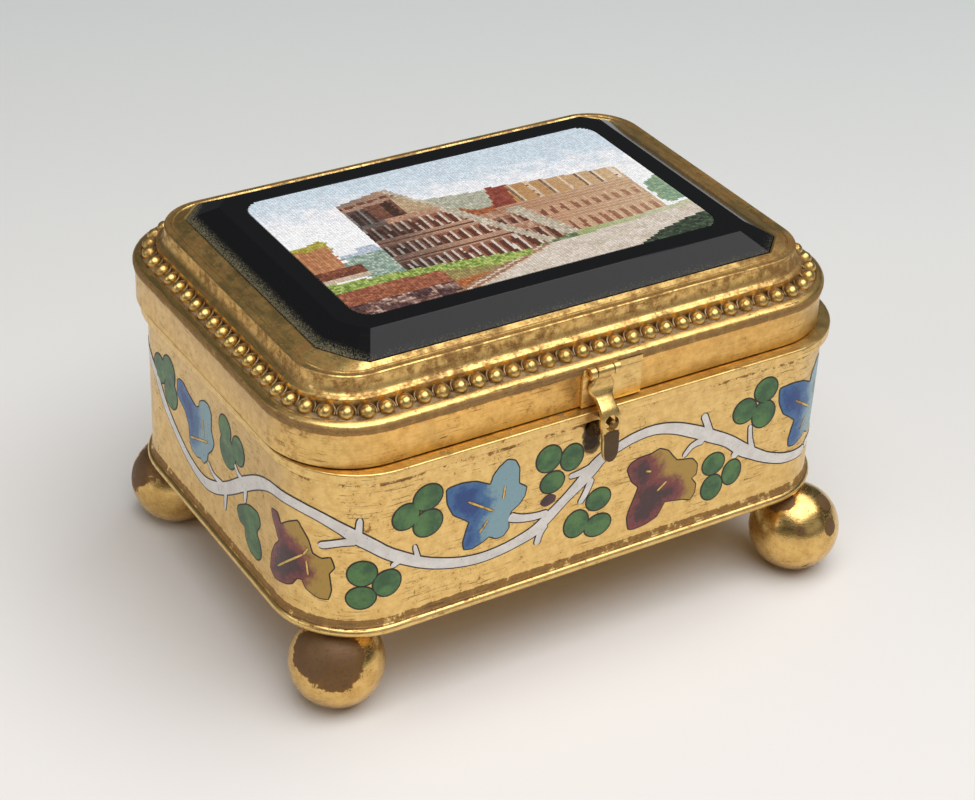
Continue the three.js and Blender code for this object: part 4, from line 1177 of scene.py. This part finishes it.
def gather(parts):
    """Several closed shapes as one list of points and faces."""
    verts, faces = [], []
    for part_verts, part_faces in parts:
        first = len(verts)
        verts += part_verts
        faces += [tuple(first + i for i in face) for face in part_faces]
    return verts, faces


def make_hasp(material):
    """The strap: barrel, shoulders, an eye over the stud and a free thumb tab."""
    low, high = (Vector(c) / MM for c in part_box("hasp"))
    x = (low.x + high.x) / 2
    pin_z = high.z - 0.85
    pin_low, pin_high = (Vector(c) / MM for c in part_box("hasp_pin"))
    pin_y = (pin_low.y + pin_high.y) / 2
    face_y = pin_y + 1.45
    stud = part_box("catch_stud")
    stud_z = (stud[0][2] + stud[1][2]) / 2 / MM
    drop = pin_z - stud_z
    bow = 3.85
    line = [(0.0, 1.45, 1.3), (0.16, 1.25, 1.3), (0.32, 1.05, 1.9), (0.45, 1.15, 2.0), (0.57, 1.68, 1.5),
            (0.7, 2.66, 1.4),
            (0.82, 3.47, 1.5), (1.0, bow, 1.65)]
    line = [(d * drop, out, half) for d, out, half in line]
    line += [(drop + 6 * d, bow + 0.4 * flare, half) for d, flare, half in
             ((0.22, 0.4, 1.5), (0.43, 0.65, 1.35), (0.65, 0.85, 1.35), (0.83, 1.0, 1.2), (0.95, 1.0, 0.85),
              (1.0, 1.0, 0.35))]
    samples = curve_through(line, 5)
    thick = 0.45
    section = [(-1, -0.35), (-0.9, -0.85), (-0.75, -1), (0.75, -1), (0.9, -0.85), (1, -0.35), (1, 0.35),
               (0.9, 0.85),
               (0.75, 1), (-0.75, 1), (-0.9, 0.85), (-1, 0.35)]
    rings = []
    for i, (d, out, half) in enumerate(samples):
        a, b = samples[max(0, i - 1)], samples[min(len(samples) - 1, i + 1)]
        run = Vector((a[1] - b[1], a[0] - b[0])).normalized()
        centre = Vector((x, face_y - out, pin_z - d))
        normal = Vector((0, -run.y, run.x))
        rings.append([centre + Vector((sx * half, 0, 0)) + normal * (sy * thick) for sx, sy in section])
    rings.reverse()
    strap = build("strap_blank", *loft(rings), material, "hasp", "worn_metal", smooth=40)
    barrel = gather([rod(Vector((x - 1.3, pin_y, pin_z)), Vector((x + 1.3, pin_y, pin_z)), 0.85, 40)])
    barrel = build("strap_barrel", *barrel, material, "hasp", "worn_metal")
    hole = build("eye_tool", *rod(Vector((x, face_y - 8, stud_z)), Vector((x, face_y, stud_z)), 1.1, 40),
                 material, "hasp", "worn_metal")
    bore = build("bore_tool", *rod(Vector((x - 3, pin_y, pin_z)), Vector((x + 3, pin_y, pin_z)), 0.45, 32),
                 material, "hasp", "worn_metal")
    mesh = joined(strap, [("UNION", barrel), ("DIFFERENCE", hole), ("DIFFERENCE", bore)])
    finish_piece(mesh, "hasp_strap", material, "hasp", "worn_metal", ["hasp"], 35)


def joined(first, steps):
    """Joins and cuts closed pieces and returns the plain mesh; the pieces used are removed."""
    for kind, tool in steps:
        modifier = first.modifiers.new(kind, "BOOLEAN")
        modifier.operation = kind
        modifier.solver = "EXACT"
        modifier.object = tool
    bpy.context.view_layer.update()
    graph = bpy.context.evaluated_depsgraph_get()
    mesh = bpy.data.meshes.new_from_object(first.evaluated_get(graph), depsgraph=graph)
    for used in [first] + [tool for _, tool in steps]:
        bpy.data.objects.remove(used)
    return mesh


def make_fittings(gilt, worn):
    """The hasp's plate, lugs and pin, the stud, and the hinge behind."""
    low, high = (Vector(c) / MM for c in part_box("hasp_plate"))
    pin = [Vector(c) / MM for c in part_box("hasp_pin")]
    pin_y, pin_z = (pin[0].y + pin[1].y) / 2, (pin[0].z + pin[1].z) / 2
    x = (low.x + high.x) / 2
    face = pin_y + 0.95
    skirt_y = pin_y + 1.45
    lap = high.z - 0.8
    left, right = x - 2.6, x + 7.1
    parts = [slab((left, face, low.z), (right, skirt_y - 0.02, lap - 0.9), 0.08),
             slab((left, face, lap - 1.1), (right, skirt_y - 0.33, lap), 0.06)]
    for side in (-1, 1):
        near, far = x + side * 1.4, x + side * 2.4
        start, end = Vector((min(near, far), pin_y, pin_z)), Vector((max(near, far), pin_y, pin_z))
        parts.append(rod(start, end, 0.85, 32))
        parts.append(slab((start.x + 0.03, pin_y, pin_z - 0.82), (end.x - 0.03, face + 0.05, pin_z - 0.02),
                          0.06))
    build("hasp_mount", *gather(parts), gilt, "lid", "gilt_metal", ["hasp_plate"])
    ends = [Vector((pin[0].x, pin_y, pin_z)), Vector((pin[1].x, pin_y, pin_z))]
    build("hasp_axle", *rod(ends[0], ends[1], 0.4, 24, 0.05), worn, "lid", "worn_metal", ["hasp_pin"])
    stud = [Vector(c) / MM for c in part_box("catch_stud")]
    sx, sz = (stud[0].x + stud[1].x) / 2, (stud[0].z + stud[1].z) / 2
    head = stud[0].y + 0.6
    seat = Vector((sx - 0.6, 0, min(sz + 0.2, TUB_TOP - 3.1)))
    parts = [rod(seat + Vector((0, TUB.y - HALF_D + 0.1, 0)), seat + Vector((0, TUB.y - HALF_D - 1.3, 0)),
                 1.3, 32, 0.55),
             rod(Vector((sx, stud[1].y, sz)), Vector((sx, head - 0.3, sz)), 0.55, 28, 0.03),
             rod(Vector((sx, head, sz)), Vector((sx, stud[0].y, sz)), 0.75, 28, 0.22)]
    build("stud_peg", *gather(parts), worn, "box", "worn_metal", ["catch_stud"])
    low, high = (Vector(c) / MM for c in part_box("hinge_leaf_tub"))
    pin = [Vector(c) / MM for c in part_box("hinge_pin")]
    py, pz = (pin[0].y + pin[1].y) / 2, (pin[0].z + pin[1].z) / 2
    wall, face = low.y, low.y + 1.0
    top = TUB_TOP - 0.175
    collar = TUB_TOP - 1.5 - 0.35 - 0.02
    parts = [slab((low.x, face, low.z), (high.x, face + 0.6, top), 0.1),
             slab((low.x + 0.05, wall, low.z + 0.05), (high.x - 0.05, face + 0.3, collar), 0.05)]
    for near, far in ((low.x, low.x + 7.85), (high.x - 7.85, high.x)):
        parts.append(rod(Vector((near, py, pz)), Vector((far, py, pz)), 1.3, 40))
        parts.append(slab((near + 0.05, face + 0.05, top - 1.25), (far - 0.05, py, top - 0.05), 0.06))
    build("hinge_lower_leaf", *gather(parts), gilt, "box", "gilt_metal", ["hinge_leaf_tub"])
    build("hinge_rod", *rod(Vector((pin[0].x, py, pz)), Vector((pin[1].x, py, pz)), 0.6, 32, 0.08), worn,
          "box", "worn_metal", ["hinge_pin"])
    low, high = (Vector(c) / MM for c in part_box("hinge_leaf_lid"))
    x = (low.x + high.x) / 2
    parts = [slab((low.x, low.y, pz + 1.6), (high.x, low.y + 0.6, high.z), 0.1),
             slab((x - 3.8, low.y + 0.05, TUB_TOP + 0.2), (x + 3.8, low.y + 0.5, high.z - 0.15), 0.06),
             slab((x - 3.8, low.y + 0.02, TUB_TOP + 0.17), (x + 3.8, py, pz + 1.24), 0.06),
             rod(Vector((x - 3.85, py, pz)), Vector((x + 3.85, py, pz)), 1.3, 40)]
    build("hinge_upper_leaf", *gather(parts), gilt, "lid", "gilt_metal", ["hinge_leaf_lid"])


# ---------------------------------------------------------------- stage


def make_stage():
    """A pale floor, a soft light overhead, and the camera at the photograph's angle."""
    floor_mesh = bpy.data.meshes.new("floor")
    reach = 3.0
    floor_mesh.from_pydata([(-reach, -reach, 0), (reach, -reach, 0), (reach, reach, 0), (-reach, reach, 0)],
                           [], [(0, 1, 2, 3)])
    material, tree, at = new_material("pale_floor")
    # The floor's colour is painted darker and greyer towards the back: painted fall-off of the light
    backwards = (0.54 * MM, 0.84 * MM, 0)
    depth = add_node(tree, "ShaderNodeVectorMath", at, backwards, operation="DOT_PRODUCT")
    colour = add_node(tree, "mix", add_node(tree, "step", depth, -0.15, 0.42), "#EEE9E5", "#CBD2D1")
    add_node(tree, "output", add_node(tree, "surface", Base_Color=colour, Roughness=0.9))
    floor_mesh.materials.append(material)
    floor = bpy.data.objects.new("floor", floor_mesh)
    bpy.context.scene.collection.objects.link(floor)
    world = bpy.data.worlds.new("studio")
    world.use_nodes = True
    world.node_tree.nodes["Background"].inputs[0].default_value = tint("#C9D0D3")
    world.node_tree.nodes["Background"].inputs[1].default_value = 0.13
    bpy.context.scene.world = world
    for name, at, aim, size, power in (
            ("overhead", (0.1, -0.3, 0.9), (0.06, -0.18, 0), (1.3, 0.95), 12.15),
            ("front_fill", (0.3, -0.9, 0.35), (0, 0, 0.03), (0.8, 0.4), 0.35),
            ("left_fill", (-0.8, 0.1, 0.4), (0, 0, 0.03), (0.5, 0.4), 1.0)):
        lamp = bpy.data.lights.new(name, "AREA")
        lamp.shape = "RECTANGLE"
        lamp.size, lamp.size_y = size
        lamp.energy = power
        lamp_object = bpy.data.objects.new(name, lamp)
        lamp_object.location = at
        lamp_object.rotation_euler = (Vector(aim) - Vector(at)).to_track_quat("-Z", "Y").to_euler()
        bpy.context.scene.collection.objects.link(lamp_object)
    azimuth, elevation, roll = (math.radians(a) for a in (-32.782, 32.320, 2.848))
    back = Vector((math.sin(azimuth) * math.cos(elevation), -math.cos(azimuth) * math.cos(elevation),
                   math.sin(elevation)))
    right = Vector((0, 0, 1)).cross(back).normalized()
    up = back.cross(right)
    right, up = right * math.cos(roll) + up * math.sin(roll), up * math.cos(roll) - right * math.sin(roll)
    spot = (TUB + Vector((0.80, -0.276, 23.591)) + back * 351.0) * MM
    data = bpy.data.cameras.new("camera")
    data.sensor_width = 36
    data.lens = 2347.1 * 36 / 975
    camera = bpy.data.objects.new("camera", data)
    camera.matrix_world = Matrix((
        (right.x, up.x, back.x, spot.x), (right.y, up.y, back.y, spot.y), (right.z, up.z, back.z, spot.z),
        (0, 0, 0, 1)))
    bpy.context.scene.collection.objects.link(camera)
    bpy.context.scene.camera = camera
    bpy.context.scene.view_settings.view_transform = "Standard"


def main():
    make_stage()
    low, high = (Vector(c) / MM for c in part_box("hasp"))
    strap_x = (low.x + high.x) / 2
    stud_z = (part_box("catch_stud")[0][2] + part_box("catch_stud")[1][2]) / 2 / MM
    wall_y = TUB.y - HALF_D
    # Painted shadow and reflection of the hasp's thumb tab on the wall, left of and below the stud
    shadows_and_stains = [(strap_x - 0.75, wall_y, stud_z - 2.6, 1.3), (strap_x - 0.7, wall_y, stud_z - 3.6, 1.45),
              (strap_x - 0.65, wall_y, stud_z - 4.6, 1.45),
              (strap_x - 0.5, wall_y, stud_z - 5.6, 1.25)]
    # The wall's bands darken a strip just under the collar and the hollow moulding above the lip: painted
    # shade
    wall_gilt = gilding("worn_wall_gilding", "#F2CF88", "#CFA25A", "#94683A", 0.635, 0.02, 0.75, 0.61, 0.12,
                        0.28,
                        bands=[(TUB_TOP - 2.7, TUB_TOP - 1.5, 0.1), (BASE + 1.4, BASE + 2.7, 0.2)],
                        shadows_and_stains=shadows_and_stains)
    lid_gilt = gilding("browned_lid_gilding", "#EBC67E", "#C2944E", "#7A5438", 0.6, 0.09, 0.62, 0.62, 0.12,
                       0.3,
                       bands=[(TUB_TOP + 5.4, TUB_TOP + 6.6, 0.24), (TUB_TOP + 8.6, TUB_TOP + 15.0, 0.08),
                              (TUB_TOP - 0.5, TUB_TOP + 4.9, -0.04)])
    bead_gilt = gilding("bright_bead_gilding", "#E6C47A", "#B68846", "#7E5632", 0.57, 0.06, 0.6, 0.7, 0.0,
                        0.3)
    cup_gilt = gilding("dusty_cup_gilding", "#B8A07C", "#947A58", "#80684C", 0.52, 0.08, 0.6, 0.7, 0.0,
                       0.55)
    spots = []
    for node, places in (("foot_front_left", ((-0.5, -0.66, 0.56, 4.6), (-0.75, -0.2, 0.62, 3.2))),
                         ("foot_front_right", ((-0.48, -0.75, 0.44, 0.75),
                                               (0.3, -0.88, 0.36, 1.3),
                                               (-0.51, -0.06, 0.86, 2.0), (0.4, -0.49, 0.78, 1.4))),
                         ("foot_back_left", ((-0.54, -0.19, 0.82, 4.4), (-0.95, 0.1, 0.3, 2.6)))):
        low, high = (Vector(c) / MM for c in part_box(node))
        centre = Vector(((low.x + high.x) / 2, (low.y + high.y) / 2, (high.x - low.x) / 2))
        for x, y, z, radius in places:
            spots.append((*(centre + Vector((x, y, z)).normalized() * 6.8), radius))
    # A small near-black spot on the front right ball, where it has a dark hole
    ball_gilt = gilding("worn_ball_gilding", "#E6C078", "#B48644", "#704C30", 0.62, 0.025, 0.85, 0.7, 0.0,
                        0.2, spots=spots, shadows_and_stains=[(*spots[2][:3], 0.2)])
    # The tab's front below the stud is darker: brown patina with a painted dark reflection
    strap_brass = gilding("rubbed_strap_brass", "#EBC67E", "#B48A4A", "#4A3826", 0.6, 0.03, 0.9, 0.6, 0.1,
                          0.26, front_only=True,
                          spots=[(strap_x, wall_y - 4.6, stud_z - 2.6, 1.9),
                                 (strap_x, wall_y - 4.8, stud_z - 4.6, 2.0)])
    steel = gilding("dark_pin_brass", "#8A6A3C", "#54401F", "#33251A", 0.5, 0.05)
    make_tub(wall_gilt)
    make_lid(lid_gilt)
    make_plaque(black_stone())
    make_beads(bead_gilt, cup_gilt)
    make_mosaic(tessera_glass(), plain("mosaic_cement", "#C2B6A4", 0.9))
    make_enamel({
        "white": glass_paste("white_enamel", "#DCD6D0", "#EEE8E1"),
        "green": glass_paste("green_enamel", "#315B35", "#558045"),
        "wine": glass_paste("wine_enamel", "#3A2228", "#5A2E36"),
        "blue": leaf_paste("blue_enamel", "#1E4484", "#3C6A9C", "#86A8B2"),
        "amber": leaf_paste("amber_enamel", "#46282A", "#7E3838", "#B48E3C"),
        "line": plain("oxidised_outline", "#2C2016", 0.5),
        "vein": bead_gilt})
    for node, side in (("foot_front_left", (-1, -1)), ("foot_front_right", (1, -1)),
                       ("foot_back_left", (-1, 1)), ("foot_back_right", (1, 1))):
        make_foot(node, side, ball_gilt)
    make_hasp(strap_brass)
    make_fittings(wall_gilt, steel)


main()
